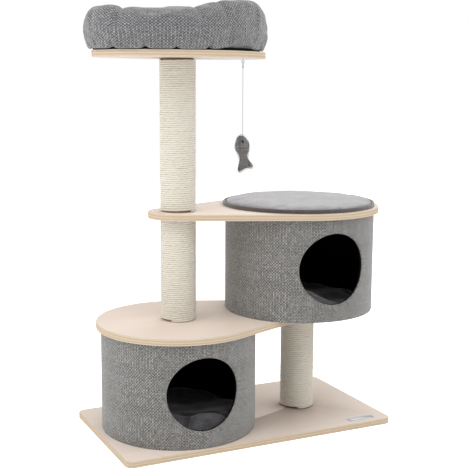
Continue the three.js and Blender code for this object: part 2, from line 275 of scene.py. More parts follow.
def swept(name: str, path: Array, radius: float | Array, sides: int = 8,
          closed: bool = False) -> bpy.types.Object:
    """Sweep a round section along a line of points.

    Args:
        name: The piece's name.
        path: Points of the centre line, shape (n, 3).
        radius: One radius, or one for each point.
        sides: Sides of the section.
        closed: Whether the line closes on itself.

    Returns:
        The new tube, with flat ends if it is open.
    """
    count = len(path)
    if closed:
        along = np.roll(path, -1, axis=0) - np.roll(path, 1, axis=0)
    else:
        along = np.gradient(path, axis=0)
    along = unit_rows(along)
    guide = np.array([0.0, 0.0, 1.0])
    mostly_upright = 0.8
    if abs(along @ guide).mean() > mostly_upright:
        guide = np.array([1.0, 0.0, 0.0])
    across = unit_rows(np.cross(along, guide))
    up = np.cross(across, along)
    angle = round_steps(sides)
    size = np.broadcast_to(np.asarray(radius, float), (count,))[:, None, None]
    spokes = (np.cos(angle)[None, :, None] * across[:, None]
              + np.sin(angle)[None, :, None] * up[:, None])
    points = (path[:, None] + size * spokes).reshape(-1, 3)
    faces = [grid_faces(count, sides, wrap_rows=closed, wrap_columns=True)]
    around = TURN * float(np.mean(radius))
    uv = np.stack([np.repeat(run_length(path), sides), np.tile(angle / TURN * around, count)],
                  axis=1)
    piece = mesh_object(name, points, faces, uv, (0.0, around))
    if not closed:
        shape = bmesh.new()
        shape.from_mesh(piece.data)
        bmesh.ops.holes_fill(shape, edges=[e for e in shape.edges if e.is_boundary], sides=sides)
        shape.to_mesh(piece.data)
        shape.free()
    weld(piece)
    return piece


def join(name: str, pieces: Sequence[bpy.types.Object]) -> bpy.types.Object:
    """Join small pieces of one finish into one object.

    Args:
        name: The joined piece's name.
        pieces: The small pieces; the first one takes in the others.

    Returns:
        The joined piece.
    """
    for piece in bpy.context.selected_objects:
        piece.select_set(False)
    for piece in pieces:
        piece.select_set(True)
    bpy.context.view_layer.objects.active = pieces[0]
    bpy.ops.object.join()
    pieces[0].name = name
    pieces[0].data.name = name
    return pieces[0]


def ripple(position: Array, waves: Sequence[tuple[float, float, float]]) -> Array:
    """Add up sine waves given as (height, cycles for each unit of position, phase)."""
    return sum(height * np.sin(TURN * cycles * position + phase) for height, cycles, phase in waves)


def random_waves(rng: np.random.Generator, count: int, height: float, lowest: float,
                 highest: float) -> list[tuple[float, float, float]]:
    """Draw sine waves whose heights add up to about `height`, between two frequencies."""
    return [(height / math.sqrt(count), rng.uniform(lowest, highest), rng.uniform(0, TURN))
            for _ in range(count)]


# ---------------------------------------------------------------- shader nodes


class Kind(Enum):
    """What a node group's socket carries."""

    NUMBER = "NodeSocketFloat"
    VECTOR = "NodeSocketVector"


class Graph:
    """Wires nodes in one node tree."""

    def __init__(self, tree: bpy.types.NodeTree) -> None:
        """Work on the given tree."""
        self.tree = tree

    def add(self, kind: str, **settings: object) -> bpy.types.Node:
        """Make a node and set its properties."""
        node = self.tree.nodes.new(kind)
        for name, value in settings.items():
            setattr(node, name, value)
        return node

    def feed(self, socket: Socket, value: Socket | float | Sequence[float]) -> None:
        """Link a socket to another, or give it a fixed value."""
        if isinstance(value, bpy.types.NodeSocket):
            self.tree.links.new(value, socket)
        else:
            socket.default_value = value

    def math(self, operation: str, *values: Socket | float, clamp: bool = False) -> Socket:
        """Work out one arithmetic operation."""
        node = self.add("ShaderNodeMath", operation=operation, use_clamp=clamp)
        for socket, value in zip(node.inputs, values):
            self.feed(socket, value)
        return node.outputs[0]

    def scaled(self, vector: Socket, factors: Sequence[float] | Socket) -> Socket:
        """Multiply a vector, axis by axis."""
        node = self.add("ShaderNodeVectorMath", operation="MULTIPLY")
        self.feed(node.inputs[0], vector)
        self.feed(node.inputs[1], factors)
        return node.outputs[0]

    def split(self, vector: Socket) -> Sequence[Socket]:
        """Take a vector apart into X, Y and Z."""
        node = self.add("ShaderNodeSeparateXYZ")
        self.feed(node.inputs[0], vector)
        return node.outputs

    def merge(self, *parts: Socket | float) -> Socket:
        """Put X, Y and Z together."""
        node = self.add("ShaderNodeCombineXYZ")
        for socket, value in zip(node.inputs, parts):
            self.feed(socket, value)
        return node.outputs[0]

    def sum_of(self, *terms: tuple[Socket, float]) -> Socket:
        """Add up two values, each multiplied by its own weight."""
        return self.math("ADD", *(self.math("MULTIPLY", value, weight) for value, weight in terms))

    def stretched(self, *places: tuple[Socket, float] | Socket | float, scale: float = 1.0,
                  detail: float = 2.0, roughness: float = 0.5) -> Socket:
        """Noise over places that are each multiplied by a factor, or taken as they are."""
        return self.noise(self.merge(*(
            self.math("MULTIPLY", *place) if isinstance(place, tuple) else place
            for place in places)), scale, detail, roughness)

    def settle(self, shader: bpy.types.Node, colour: Socket, roughness: Socket, normal: Socket,
               others: dict[str, float] | None = None) -> None:
        """Wire a finish into its shader.

        Args:
            shader: The material's shader.
            colour: Its base colour.
            roughness: Its roughness.
            normal: Its normal.
            others: Fixed values of other inputs, by name.
        """
        for name, socket in (("Base Color", colour), ("Roughness", roughness), ("Normal", normal)):
            self.feed(shader.inputs[name], socket)
        for name, value in (others or {}).items():
            shader.inputs[name].default_value = value

    def noise(self, vector: Socket, scale: float | Socket, detail: float = 2.0,
              roughness: float = 0.5) -> Socket:
        """Soft noise from 0 to 1."""
        node = self.add("ShaderNodeTexNoise")
        for name, value in {"Vector": vector, "Scale": scale, "Detail": detail,
                            "Roughness": roughness}.items():
            self.feed(node.inputs[name], value)
        return node.outputs["Fac"]

    def speck(self, vector: Socket) -> Socket:
        """A random value for each whole-number place."""
        node = self.add("ShaderNodeTexWhiteNoise", noise_dimensions="3D")
        self.feed(node.inputs["Vector"], vector)
        return node.outputs["Value"]

    def span(self, value: Socket, low: float, high: float, to_low: float = 0.0,
             to_high: float = 1.0) -> Socket:
        """Stretch a value from one range to another, and stop at its ends."""
        node = self.add("ShaderNodeMapRange", interpolation_type="SMOOTHSTEP")
        for socket, number in zip(node.inputs, (value, low, high, to_low, to_high)):
            self.feed(socket, number)
        return node.outputs[0]

    def between(self, amount: Socket, low: Socket | float, high: Socket | float) -> Socket:
        """A number between two others."""
        node = self.add("ShaderNodeMix", data_type="FLOAT")
        for index, value in ((0, amount), (2, low), (3, high)):
            self.feed(node.inputs[index], value)
        return node.outputs[0]

    def blend(self, amount: Socket | float, low: Socket | Colour, high: Socket | Colour,
              mode: str = "MIX") -> Socket:
        """Mix two colours."""
        node = self.add("ShaderNodeMix", data_type="RGBA", blend_type=mode)
        self.feed(node.inputs[0], amount)
        for socket, value in ((node.inputs[6], low), (node.inputs[7], high)):
            self.feed(socket, value if isinstance(value, bpy.types.NodeSocket) else (*value, 1.0))
        return node.outputs[2]

    def bump(self, height: Socket, depth: float, strength: float = 1.0,
             normal: Socket | None = None) -> Socket:
        """A normal from a height of 0 to 1 that stands for `depth` metres."""
        node = self.add("ShaderNodeBump")
        self.feed(node.inputs["Strength"], strength)
        self.feed(node.inputs["Distance"], depth)
        self.feed(node.inputs["Height"], height)
        if normal is not None:
            self.feed(node.inputs["Normal"], normal)
        return node.outputs["Normal"]


Sockets = dict[str, Socket]


@dataclass(frozen=True)
class Effect:
    """A surface effect that several finishes share, kept as one shader node group.

    Attributes:
        name: The group's name.
        inputs: Each input's name, kind and first value.
        outputs: Each output's name; all are numbers.
        wire: Makes the group's nodes from its inputs and returns its outputs.
    """

    name: str
    inputs: tuple[tuple[str, Kind, float], ...]
    outputs: tuple[str, ...]
    wire: Callable[[Graph, Sockets], Sockets]

    def tree(self) -> bpy.types.NodeTree:
        """Build the group the first time, and give it back after that."""
        known = bpy.data.node_groups.get(self.name)
        if known is not None:
            return known
        tree = bpy.data.node_groups.new(self.name, "ShaderNodeTree")
        for name, kind, value in self.inputs:
            socket = tree.interface.new_socket(name, in_out="INPUT", socket_type=kind.value)
            if kind is Kind.NUMBER:
                socket.default_value = value
        for name in self.outputs:
            tree.interface.new_socket(name, in_out="OUTPUT", socket_type=Kind.NUMBER.value)
        graph = Graph(tree)
        entry, end = graph.add("NodeGroupInput"), graph.add("NodeGroupOutput")
        made = self.wire(graph, {name: entry.outputs[name] for name, _, _ in self.inputs})
        for name in self.outputs:
            graph.feed(end.inputs[name], made[name])
        return tree

    def place(self, graph: Graph, **values: Socket | float) -> Sockets:
        """Put the group in a material.

        Args:
            graph: The material's graph.
            values: The group's inputs by name.

        Returns:
            The group's outputs by name.
        """
        node = graph.add("ShaderNodeGroup")
        node.node_tree = self.tree()
        for name, value in values.items():
            graph.feed(node.inputs[name], value)
        return {name: node.outputs[name] for name in self.outputs}


YARN_WANDER = 2.5  # Yarns that the weave strays to either side, as if it was pulled askew.


def wire_twill(graph: Graph, given: Sockets) -> Sockets:
    """Wire bird's-eye twill: small diamonds of warp and weft, in two colours of uneven yarn.

    Args:
        graph: The group's graph.
        given: The cloth coordinates, the width of a yarn, and the yarns before the twill turns.

    Returns:
        Whether the warp shows, the yarn's tone and height, and its slow wander in tone.
    """
    wander = [
        graph.math("MULTIPLY", graph.math("SUBTRACT", graph.noise(
            graph.scaled(given["Cloth"], stretch), 1.0), 0.5), YARN_WANDER)
        for stretch in ((90.0, 40.0, 1.0), (40.0, 90.0, 1.0))
    ]
    across, along = (graph.math("ADD", graph.math("DIVIDE", place, given["Yarn"]), shift)
                     for place, shift in zip(graph.split(given["Cloth"]), wander))
    warp, weft = graph.math("FLOOR", across), graph.math("FLOOR", along)
    turn = [graph.math("PINGPONG", yarn, given["Repeat"]) for yarn in (warp, weft)]
    step = graph.math("FLOORED_MODULO", graph.math("ADD", *turn), 4.0)
    raised = graph.math("LESS_THAN", step, 1.5)
    arch = [graph.math("ABSOLUTE", graph.math("SINE", graph.math("MULTIPLY", place, math.pi)))
            for place in (across, along)]
    fibre = [graph.stretched((across, fine), (along, coarse), 0.0, roughness=0.6)
             for fine, coarse in ((5.0, 0.35), (0.35, 5.0))]
    slub = [graph.speck(graph.merge(*place)) for place in
            ((warp, graph.math("FLOOR", graph.math("DIVIDE", along, 5.0)), 0.0),
             (graph.math("FLOOR", graph.math("DIVIDE", across, 7.0)), weft, 7.0))]
    blot = graph.speck(graph.merge(*(
        graph.math("FLOOR", graph.math("MULTIPLY", place, per_yarn))
        for place, per_yarn in ((across, 0.34), (along, 0.42))), 3.0))
    cloud = graph.span(graph.noise(given["Cloth"], 190.0, 2.0, 0.7), 0.3, 0.7)
    heather = graph.between(0.4, blot, cloud)

    def chosen(pair: Sequence[Socket]) -> Socket:
        """The warp's value where the warp is raised, and the weft's elsewhere."""
        return graph.between(raised, pair[1], pair[0])

    tone = graph.sum_of((chosen(fibre), 0.45), (chosen(slub), 0.55))
    height = graph.sum_of((graph.math("POWER", chosen(arch), 0.6), 0.8), (chosen(fibre), 0.2))
    return {"Warp": raised, "Tone": tone, "Height": height, "Heather": heather}


TWILL = Effect("twill weave",
               (("Cloth", Kind.VECTOR, 0.0), ("Yarn", Kind.NUMBER, 0.0013),
                ("Repeat", Kind.NUMBER, 3.0)),
               ("Warp", "Tone", "Height", "Heather"), wire_twill)


def wire_mottle(graph: Graph, given: Sockets) -> Sockets:
    """Large soft patches, with smaller ones inside them."""
    large = graph.noise(given["Place"], given["Scale"], 3.0, 0.55)
    small = graph.noise(given["Place"], graph.math("MULTIPLY", given["Scale"], 9.0), 2.0, 0.6)
    return {"Tone": graph.span(graph.sum_of((large, 0.6), (small, 0.4)), 0.3, 0.7)}


MOTTLE = Effect("mottle", (("Place", Kind.VECTOR, 0.0), ("Scale", Kind.NUMBER, 12.0)), ("Tone",),
                wire_mottle)


def wire_pile(graph: Graph, given: Sockets) -> Sockets:
    """Short nap: tufts that lean together in brushed patches."""
    size = given["Scale"]
    tuft = graph.noise(given["Place"], size, 3.0, 0.65)
    lean = graph.noise(given["Place"], graph.math("MULTIPLY", size, 0.035), 3.0, 0.6)
    streak = graph.noise(graph.scaled(given["Place"], (0.25, 1.0, 1.0)),
                         graph.math("MULTIPLY", size, 0.3), 2.0, 0.6)
    brushed = graph.span(graph.sum_of((lean, 0.65), (streak, 0.35)), 0.35, 0.65)
    return {"Tuft": tuft, "Brushed": brushed}


PILE = Effect("brushed pile", (("Place", Kind.VECTOR, 0.0), ("Scale", Kind.NUMBER, 900.0)),
              ("Tuft", "Brushed"), wire_pile)


def wire_grain(graph: Graph, given: Sockets) -> Sockets:
    """Rotary-cut wood: long streaks along X, wandering rings and short pores."""
    place = given["Place"]
    bend = graph.noise(graph.scaled(place, (1.6, 5.0, 5.0)), 1.0, 2.0)
    x, y, z = graph.split(place)
    bent = graph.merge(x, graph.math("ADD", y, graph.math("MULTIPLY", bend, 0.05)), z)
    streak = graph.noise(graph.scaled(bent, (3.0, 75.0, 75.0)), 1.0, 4.0, 0.55)
    figure = graph.noise(graph.scaled(bent, (1.3, 11.0, 11.0)), 1.0, 2.0, 0.5)
    pore = graph.noise(graph.scaled(place, (45.0, 1500.0, 1500.0)), 1.0, 1.0)
    return {"Streak": graph.span(graph.sum_of((streak, 0.6), (figure, 0.4)), 0.32, 0.68),
            "Pore": graph.span(pore, 0.60, 0.76)}


GRAIN = Effect("wood grain", (("Place", Kind.VECTOR, 0.0),), ("Streak", "Pore"), wire_grain)


# ---------------------------------------------------------------- finishes


@dataclass(frozen=True)
class Finish:
    """A finish with one material, made the first time it is asked for.

    Attributes:
        name: The material's name.
        colour: Its main colour, linear.
        roughness: Its roughness.
    """

    name: str
    colour: Colour
    roughness: float = 0.9

    def material(self) -> bpy.types.Material:
        """Give back the finish's material."""
        known = bpy.data.materials.get(self.name)
        if known is not None:
            return known
        made = bpy.data.materials.new(self.name)
        made.use_nodes = True
        graph = Graph(made.node_tree)
        shader = made.node_tree.nodes["Principled BSDF"]
        shader.inputs["Roughness"].default_value = self.roughness
        shader.inputs["Specular IOR Level"].default_value = 0.3
        self.paint(graph, shader)
        made.diffuse_color = (*self.colour, 1.0)
        return made

    def paint(self, graph: Graph, shader: bpy.types.Node) -> None:
        """Wire the finish into its shader; each kind of finish has its own way.

        Args:
            graph: The material's graph.
            shader: The material's shader.
        """
        raise NotImplementedError

    def shade(self, factor: float) -> Colour:
        """The main colour, lighter or darker by a factor."""
        return tuple(min(1.0, part * factor) for part in self.colour)

    def tint(self, *factors: float) -> Colour:
        """The main colour with each of its parts multiplied by its own factor."""
        return tuple(part * factor for part, factor in zip(self.colour, factors))


def cloth_place(graph: Graph) -> Socket:
    """The cloth coordinates that mesh_object lays, in metres."""
    return graph.add("ShaderNodeUVMap", uv_map="cloth").outputs[0]


def solid_place(graph: Graph) -> Socket:
    """The object's own coordinates, in metres."""
    return graph.add("ShaderNodeTexCoord").outputs["Object"]


def random_by_piece(graph: Graph) -> Socket:
    """A solid place moved by a different amount for each object."""
    shift = graph.scaled(graph.merge(graph.add("ShaderNodeObjectInfo").outputs["Random"], 0.0, 0.0),
                         (7.0, 0.0, 0.0))
    node = graph.add("ShaderNodeVectorMath", operation="ADD")
    graph.feed(node.inputs[0], solid_place(graph))
    graph.feed(node.inputs[1], shift)
    return node.outputs[0]


@dataclass(frozen=True)
class Melange(Finish):
    """Twill of a light and a dark yarn, as on the dens, the bolster and the fish.

    Attributes:
        dark: The dark yarn's colour.
        yarn: Width of one yarn, in metres.
        heather: How far the yarn's tone wanders from blot to blot.
        fold: Yarns before the twill turns back, both ways.
        sheen: Strength of the fibre ends' sheen.
    """

    dark: Colour = (0.06, 0.058, 0.058)
    yarn: float = 1.3 * MM
    heather: float = 0.45
    fold: float = 3.0
    sheen: float = 0.35

    def paint(self, graph: Graph, shader: bpy.types.Node) -> None:
        """Colour the yarns apart and raise them."""
        cloth = cloth_place(graph)
        weave = TWILL.place(graph, Cloth=cloth, Yarn=self.yarn, Repeat=self.fold)
        patch = MOTTLE.place(graph, Place=cloth, Scale=9.0)["Tone"]
        light = graph.blend(weave["Tone"], self.shade(0.42), self.shade(1.5))
        dark = graph.blend(weave["Tone"], tuple(part * 0.4 for part in self.dark),
                           tuple(part * 1.9 for part in self.dark))
        yarns = graph.blend(weave["Warp"], dark, light)
        depth = graph.between(weave["Heather"], 1 - self.heather, 1 + self.heather)
        mixed = graph.blend(1.0, yarns, graph.merge(depth, depth, depth), "MULTIPLY")
        worn = graph.blend(graph.span(patch, 0.0, 1.0, 0.0, 0.12), mixed, self.shade(0.6))
        graph.settle(shader, worn, graph.span(weave["Tone"], 0.0, 1.0, 0.96, 0.82),
                     graph.bump(weave["Height"], self.yarn * 0.3, 0.7),
                     {"Sheen Weight": self.sheen, "Sheen Roughness": 0.5})


@dataclass(frozen=True)
class Plush(Finish):
    """Short-pile plush, as on the cushions and the pad.

    Attributes:
        tuft: How many tufts there are in a metre.
        contrast: How far the brushed patches differ.
        sheen: Strength of the pile's sheen.
    """

    tuft: float = 900.0
    contrast: float = 0.16
    sheen: float = 0.5

    def paint(self, graph: Graph, shader: bpy.types.Node) -> None:
        """Colour the tufts and their brushed patches, paint shade where the tufts are low, and
        raise the pile.
        """
        place = solid_place(graph)
        pile = PILE.place(graph, Place=place, Scale=self.tuft)
        brushed = graph.blend(pile["Brushed"], self.shade(1 - self.contrast),
                              self.shade(1 + self.contrast))
        # Painted shade: the pile turns darker where the tufts are low, as if shaded at their roots.
        root = graph.blend(1.0, brushed, (0.62, 0.62, 0.62), "MULTIPLY")
        soft = graph.bump(pile["Brushed"], 1.2 * MM, 0.35)
        graph.settle(shader, graph.blend(graph.span(pile["Tuft"], 0.25, 0.6), root, brushed),
                     graph.span(pile["Brushed"], 0.0, 1.0, 0.98, 0.85),
                     graph.bump(pile["Tuft"], 0.5 * MM, 0.6, soft),
                     {"Sheen Weight": self.sheen, "Sheen Roughness": 0.45})


@dataclass(frozen=True)
class Felt(Finish):
    """Matted felt or lining: fibres in every direction with a little lint."""

    def paint(self, graph: Graph, shader: bpy.types.Node) -> None:
        """Colour the lint and raise the matted fibres."""
        place = solid_place(graph)
        pile = PILE.place(graph, Place=place, Scale=1400.0)
        lint = graph.span(graph.noise(place, 420.0, 3.0, 0.7), 0.66, 0.78)
        base = graph.blend(pile["Tuft"], self.shade(0.6), self.shade(1.4))
        graph.settle(shader, graph.blend(lint, base, self.shade(2.6)),
                     graph.span(pile["Tuft"], 0.2, 0.8, 0.9, 1.0),
                     graph.bump(pile["Tuft"], 0.3 * MM, 0.6), {"Specular IOR Level": 0.12})


@dataclass(frozen=True)
class Veneer(Finish):
    """The sanded face of plywood, with streaks, soft patches and pores."""

    def paint(self, graph: Graph, shader: bpy.types.Node) -> None:
        """Colour the grain and give it a satin finish."""
        place = random_by_piece(graph)
        grain = GRAIN.place(graph, Place=place)
        patch = MOTTLE.place(graph, Place=graph.scaled(place, (0.5, 1.0, 1.0)), Scale=7.0)["Tone"]
        wood = graph.blend(grain["Streak"], self.tint(0.965, 0.95, 0.93), self.shade(1.03))
        wood = graph.blend(graph.span(patch, 0.0, 1.0, 0.0, 0.5), wood,
                           self.tint(1.0, 0.965, 0.945))
        wood = graph.blend(graph.math("MULTIPLY", grain["Pore"], 0.35), wood,
                           self.tint(0.72, 0.62, 0.52))
        graph.settle(shader, wood, graph.span(grain["Streak"], 0.0, 1.0, 0.52, 0.64),
                     graph.bump(grain["Pore"], -0.08 * MM, 0.5), {"Specular IOR Level": 0.35})


# Painted shade: the dark brown that stands for the shade inside voids in the core plies.
VOID_SHADE_COLOUR: Colour = (0.16, 0.09, 0.045)


@dataclass(frozen=True)
class PlyEdge(Finish):
    """The layered edge of plywood: long-grain and end-grain plies in turn.

    Attributes:
        thickness: The board's thickness, in metres.
        plies: How many layers it has.
    """

    thickness: float = 16 * MM
    plies: int = 5

    def paint(self, graph: Graph, shader: bpy.types.Node) -> None:
        """Colour the plies by their height, which V holds, and paint shade into voids in the
        end-grain plies.
        """
        around, height, _ = graph.split(cloth_place(graph))
        place = solid_place(graph)
        waver = graph.noise(graph.scaled(place, (20.0, 20.0, 60.0)), 1.0)
        shift = graph.math("MULTIPLY", graph.math("SUBTRACT", waver, 0.5), 0.5 * MM)
        layer = graph.math("MULTIPLY", graph.math("ADD", height, shift),
                           self.plies / self.thickness)
        number = graph.math("FLOOR", layer)
        end_grain = graph.math("GREATER_THAN", graph.math("FLOORED_MODULO", number, 2.0), 0.5)
        off_middle = graph.math("ABSOLUTE", graph.math("SUBTRACT", graph.math("FRACT", layer), 0.5))
        glue = graph.span(off_middle, 0.40, 0.5)
        fleck = graph.stretched((around, 260.0), (height, 2600.0), number, detail=3.0,
                                roughness=0.6)
        long_run = graph.stretched((around, 22.0), (height, 3000.0), number)
        light = graph.blend(graph.span(long_run, 0.35, 0.7), self.shade(1.08), self.shade(0.93))
        dark = graph.blend(graph.span(fleck, 0.3, 0.7), self.tint(0.85, 0.74, 0.59),
                           self.tint(0.95, 0.88, 0.76))
        wood = graph.blend(end_grain, light, dark)
        wood = graph.blend(graph.math("MULTIPLY", glue, 0.45), wood, self.tint(0.62, 0.5, 0.38))
        # Voids in the end-grain plies: pressed in by the bump and painted dark as shade.
        hollow = graph.span(graph.stretched((around, 34.0), number, 3.0), 0.70, 0.74)
        gap = graph.math("MULTIPLY", end_grain, hollow)
        relief = graph.math("SUBTRACT", graph.math("MULTIPLY", fleck, 0.3),
                            graph.math("ADD", glue, gap))
        graph.settle(shader, graph.blend(graph.math("MULTIPLY", gap, 0.75), wood, VOID_SHADE_COLOUR),
                     graph.span(fleck, 0.2, 0.8, 0.6, 0.8), graph.bump(relief, 0.15 * MM, 0.6))


@dataclass(frozen=True)
class Sisal(Finish):
    """Bleached sisal rope: fibres that run along each laid strand."""

    def paint(self, graph: Graph, shader: bpy.types.Node) -> None:
        """Colour the fibres, with painted shade for the gaps between strands, and raise them."""
        along, around, _ = graph.split(cloth_place(graph))
        slant = graph.math("ADD", along, graph.math("MULTIPLY", around, 1.6))
        fibre = graph.stretched((slant, 90.0), (around, 2600.0), 0.0, detail=4.0, roughness=0.7)
        strand = graph.stretched((slant, 420.0), (around, 500.0), 2.0)
        patch = MOTTLE.place(graph, Place=solid_place(graph), Scale=30.0)["Tone"]
        base = graph.blend(graph.span(fibre, 0.3, 0.7), self.tint(0.88, 0.84, 0.76),
                           self.shade(1.08))
        # Painted shade: streaks along the strands turn darker, standing for the shade in the gaps
        # between strands.
        base = graph.blend(graph.math("MULTIPLY", graph.span(strand, 0.52, 0.8), 0.3), base,
                           self.tint(0.78, 0.69, 0.54))
        graph.settle(shader, graph.blend(graph.math("MULTIPLY", patch, 0.3), base, self.colour),
                     graph.span(fibre, 0.2, 0.8, 0.9, 0.7),
                     graph.bump(graph.math("ADD", fibre, strand), 0.35 * MM, 0.7),
                     {"Sheen Weight": 0.15})


@dataclass(frozen=True)
class Fibreboard(Finish):
    """Wound card, or the rough inside faces of wood parts, with short fibres along X."""

    def paint(self, graph: Graph, shader: bpy.types.Node) -> None:
        """Colour the fibres and a few darker chips."""
        place = random_by_piece(graph)
        grain = GRAIN.place(graph, Place=graph.scaled(place, (6.0, 2.0, 2.0)))
        patch = MOTTLE.place(graph, Place=place, Scale=40.0)["Tone"]
        wood = graph.blend(grain["Streak"], self.shade(0.8), self.shade(1.15))
        graph.settle(shader,
                     graph.blend(graph.math("MULTIPLY", patch, 0.35), wood, self.shade(0.7)),
                     graph.span(patch, 0.0, 1.0, 0.75, 0.92),
                     graph.bump(grain["Streak"], 0.12 * MM, 0.5))


@dataclass(frozen=True)
class Metal(Finish):
    """Zinc-plated or brushed metal.

    Attributes:
        brush: How far the brushing stretches along X; 1 has no direction.
        scratch: Depth of the brushing in metres.
    """

    brush: float = 1.0
    scratch: float = 0.01 * MM

    def paint(self, graph: Graph, shader: bpy.types.Node) -> None:
        """Brush the metal and dull it in patches."""
        place = solid_place(graph)
        line = graph.noise(graph.scaled(place, (1.0 / self.brush, 1.0, 1.0)), 3000.0, 2.0, 0.6)
        patch = MOTTLE.place(graph, Place=place, Scale=60.0)["Tone"]
        dull = graph.span(patch, 0.0, 1.0, self.roughness - 0.1, self.roughness + 0.06)
        graph.settle(shader, graph.blend(patch, self.shade(0.85), self.shade(1.08)),
                     graph.math("ADD", graph.math("MULTIPLY", line, 0.16), dull),
                     graph.bump(line, self.scratch, 0.4), {"Metallic": 1.0})


@dataclass(frozen=True)
class Thread(Finish):
    """Twisted thread or cord, furred by its loose fibres, with painted shade in the grooves of its
    twist.

    Attributes:
        lay: Length of one twist, in metres.
    """

    lay: float = 1.6 * MM

    def paint(self, graph: Graph, shader: bpy.types.Node) -> None:
        """Colour the twisted yarns with painted shade in the grooves between them, and raise them.
        """
        along, around, _ = graph.split(cloth_place(graph))
        twist = graph.math("ADD", graph.math("DIVIDE", along, self.lay),
                           graph.math("MULTIPLY", around, 420.0))
        ridge = graph.math("ABSOLUTE", graph.math("SINE", graph.math("MULTIPLY", twist, math.pi)))
        fuzz = graph.noise(solid_place(graph), 2600.0, 2.0, 0.6)
        # Painted shade: darker in the grooves of the twist and a little lighter on its crests.
        base = graph.blend(ridge, self.shade(0.66), self.shade(1.06))
        graph.settle(shader,
                     graph.blend(graph.span(fuzz, 0.4, 0.9, 0.0, 0.4), base, self.shade(0.8)),
                     graph.span(fuzz, 0.2, 0.8, 0.78, 0.95), graph.bump(ridge, 0.2 * MM, 0.6))


@dataclass(frozen=True)
class Sweep(Finish):
    """The studio's pale painted floor, which glows so that it fades into the surround."""

    def paint(self, graph: Graph, shader: bpy.types.Node) -> None:
        """Vary the paint a very little."""
        patch = MOTTLE.place(graph, Place=solid_place(graph), Scale=2.0)["Tone"]
        graph.feed(shader.inputs["Base Color"], graph.blend(patch, self.colour, self.shade(1.01)))
        graph.feed(shader.inputs["Roughness"], graph.span(patch, 0.0, 1.0, 0.85, 0.9))
        shader.inputs["Emission Color"].default_value = (1.0, 1.0, 1.0, 1.0)
        seen = graph.add("ShaderNodeLightPath").outputs["Is Camera Ray"]
        graph.feed(shader.inputs["Emission Strength"], graph.between(seen, 0.22, 0.75))


MELANGE = Melange("melange twill", (0.33, 0.325, 0.312), dark=(0.085, 0.082, 0.078))
BOLSTER_MELANGE = Melange("melange twill, bed", (0.295, 0.292, 0.297), dark=(0.06, 0.06, 0.063),
                          yarn=1.2 * MM)
FISH_MELANGE = Melange("melange twill, toy", (0.36, 0.35, 0.34), dark=(0.03, 0.028, 0.027),
                       yarn=1.4 * MM, heather=0.6)
PIPING = Melange("piping twill", (0.10, 0.082, 0.08), 0.85, dark=(0.045, 0.036, 0.036),
                 yarn=0.8 * MM, fold=64.0, sheen=0.6)
PAD_PLUSH = Plush("light plush", (0.325, 0.318, 0.332), contrast=0.12)
# Painted shade: the plush's own dark grey, made darker still to stand for the dim inside of the
# dens.
DEN_PLUSH_DARKENED_FOR_SHADE = Plush("grey plush, darkened as painted shade", (0.085, 0.081, 0.09), contrast=0.35)
BED_PLUSH = Plush("light plush, bed", (0.42, 0.415, 0.43), contrast=0.14)
LINING = Felt("black felt", (0.0035, 0.0035, 0.004), 1.0)
UNDERSIDE = Felt("black underside cloth", (0.010, 0.010, 0.011), 1.0)
FACE = Veneer("birch face", (0.69, 0.60, 0.532), 0.55)
EDGE = PlyEdge("birch edge", (0.555, 0.465, 0.36), 0.7)
BENT_PLY = Fibreboard("bent ply", (0.55, 0.42, 0.27), 0.8)
CARD = Fibreboard("wound card", (0.30, 0.20, 0.12), 0.85)
ROPE = Sisal("bleached sisal", (0.665, 0.638, 0.577), 0.85)
STEEL = Metal("zinc-plated steel", (0.56, 0.57, 0.59), 0.38)
PLATE = Metal("brushed plate", (0.52, 0.54, 0.58), 0.34, brush=24.0)
STRING = Thread("white cord", (0.50, 0.495, 0.49), 0.9)
STITCH = Thread("grey thread", (0.20, 0.195, 0.20), 0.9, lay=0.8 * MM)
EYE_THREAD = Thread("black thread", (0.008, 0.008, 0.009), 0.8, lay=0.8 * MM)
FLOOR = Sweep("pale floor", (0.93, 0.93, 0.93), 0.88)


def dress(piece: bpy.types.Object, *finishes: Finish) -> None:
    """Give a piece its materials and keep each face in its slot.

    Args:
        piece: The piece.
        finishes: One for each slot; faces past the last slot take the last finish.
    """
    faces = piece.data.polygons
    kept = np.zeros(len(faces), dtype=np.int32)
    faces.foreach_get("material_index", kept)
    piece.data.materials.clear()
    for finish in finishes:
        piece.data.materials.append(finish.material())
    faces.foreach_set("material_index", np.minimum(kept, len(finishes) - 1))


def mount(piece: bpy.types.Object, body: str, slot: str, *nodes: str) -> None:
    """Fix a piece to its body, log its slot, and let it stand for CAD nodes.

    Args:
        piece: The piece.
        body: The body that carries it.
        slot: The material slot that it belongs to.
        nodes: The CAD nodes that it replaces.
    """
    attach(piece, body)
    if nodes:
        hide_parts(*nodes)
    log.info("%s: on %s, %s, for %s", piece.name, body, slot, ", ".join(nodes) or "no node")


# ---------------------------------------------------------------- sewing and filling


def round_grid(count: int) -> tuple[Array, Array]:
    """A square grid bent to fill the unit disc, as two (count, count) arrays of X and Y."""
    line = np.linspace(-1, 1, count)
    across, along = np.meshgrid(line, line, indexing="ij")
    return across * np.sqrt(1 - along**2 / 2), along * np.sqrt(1 - across**2 / 2)


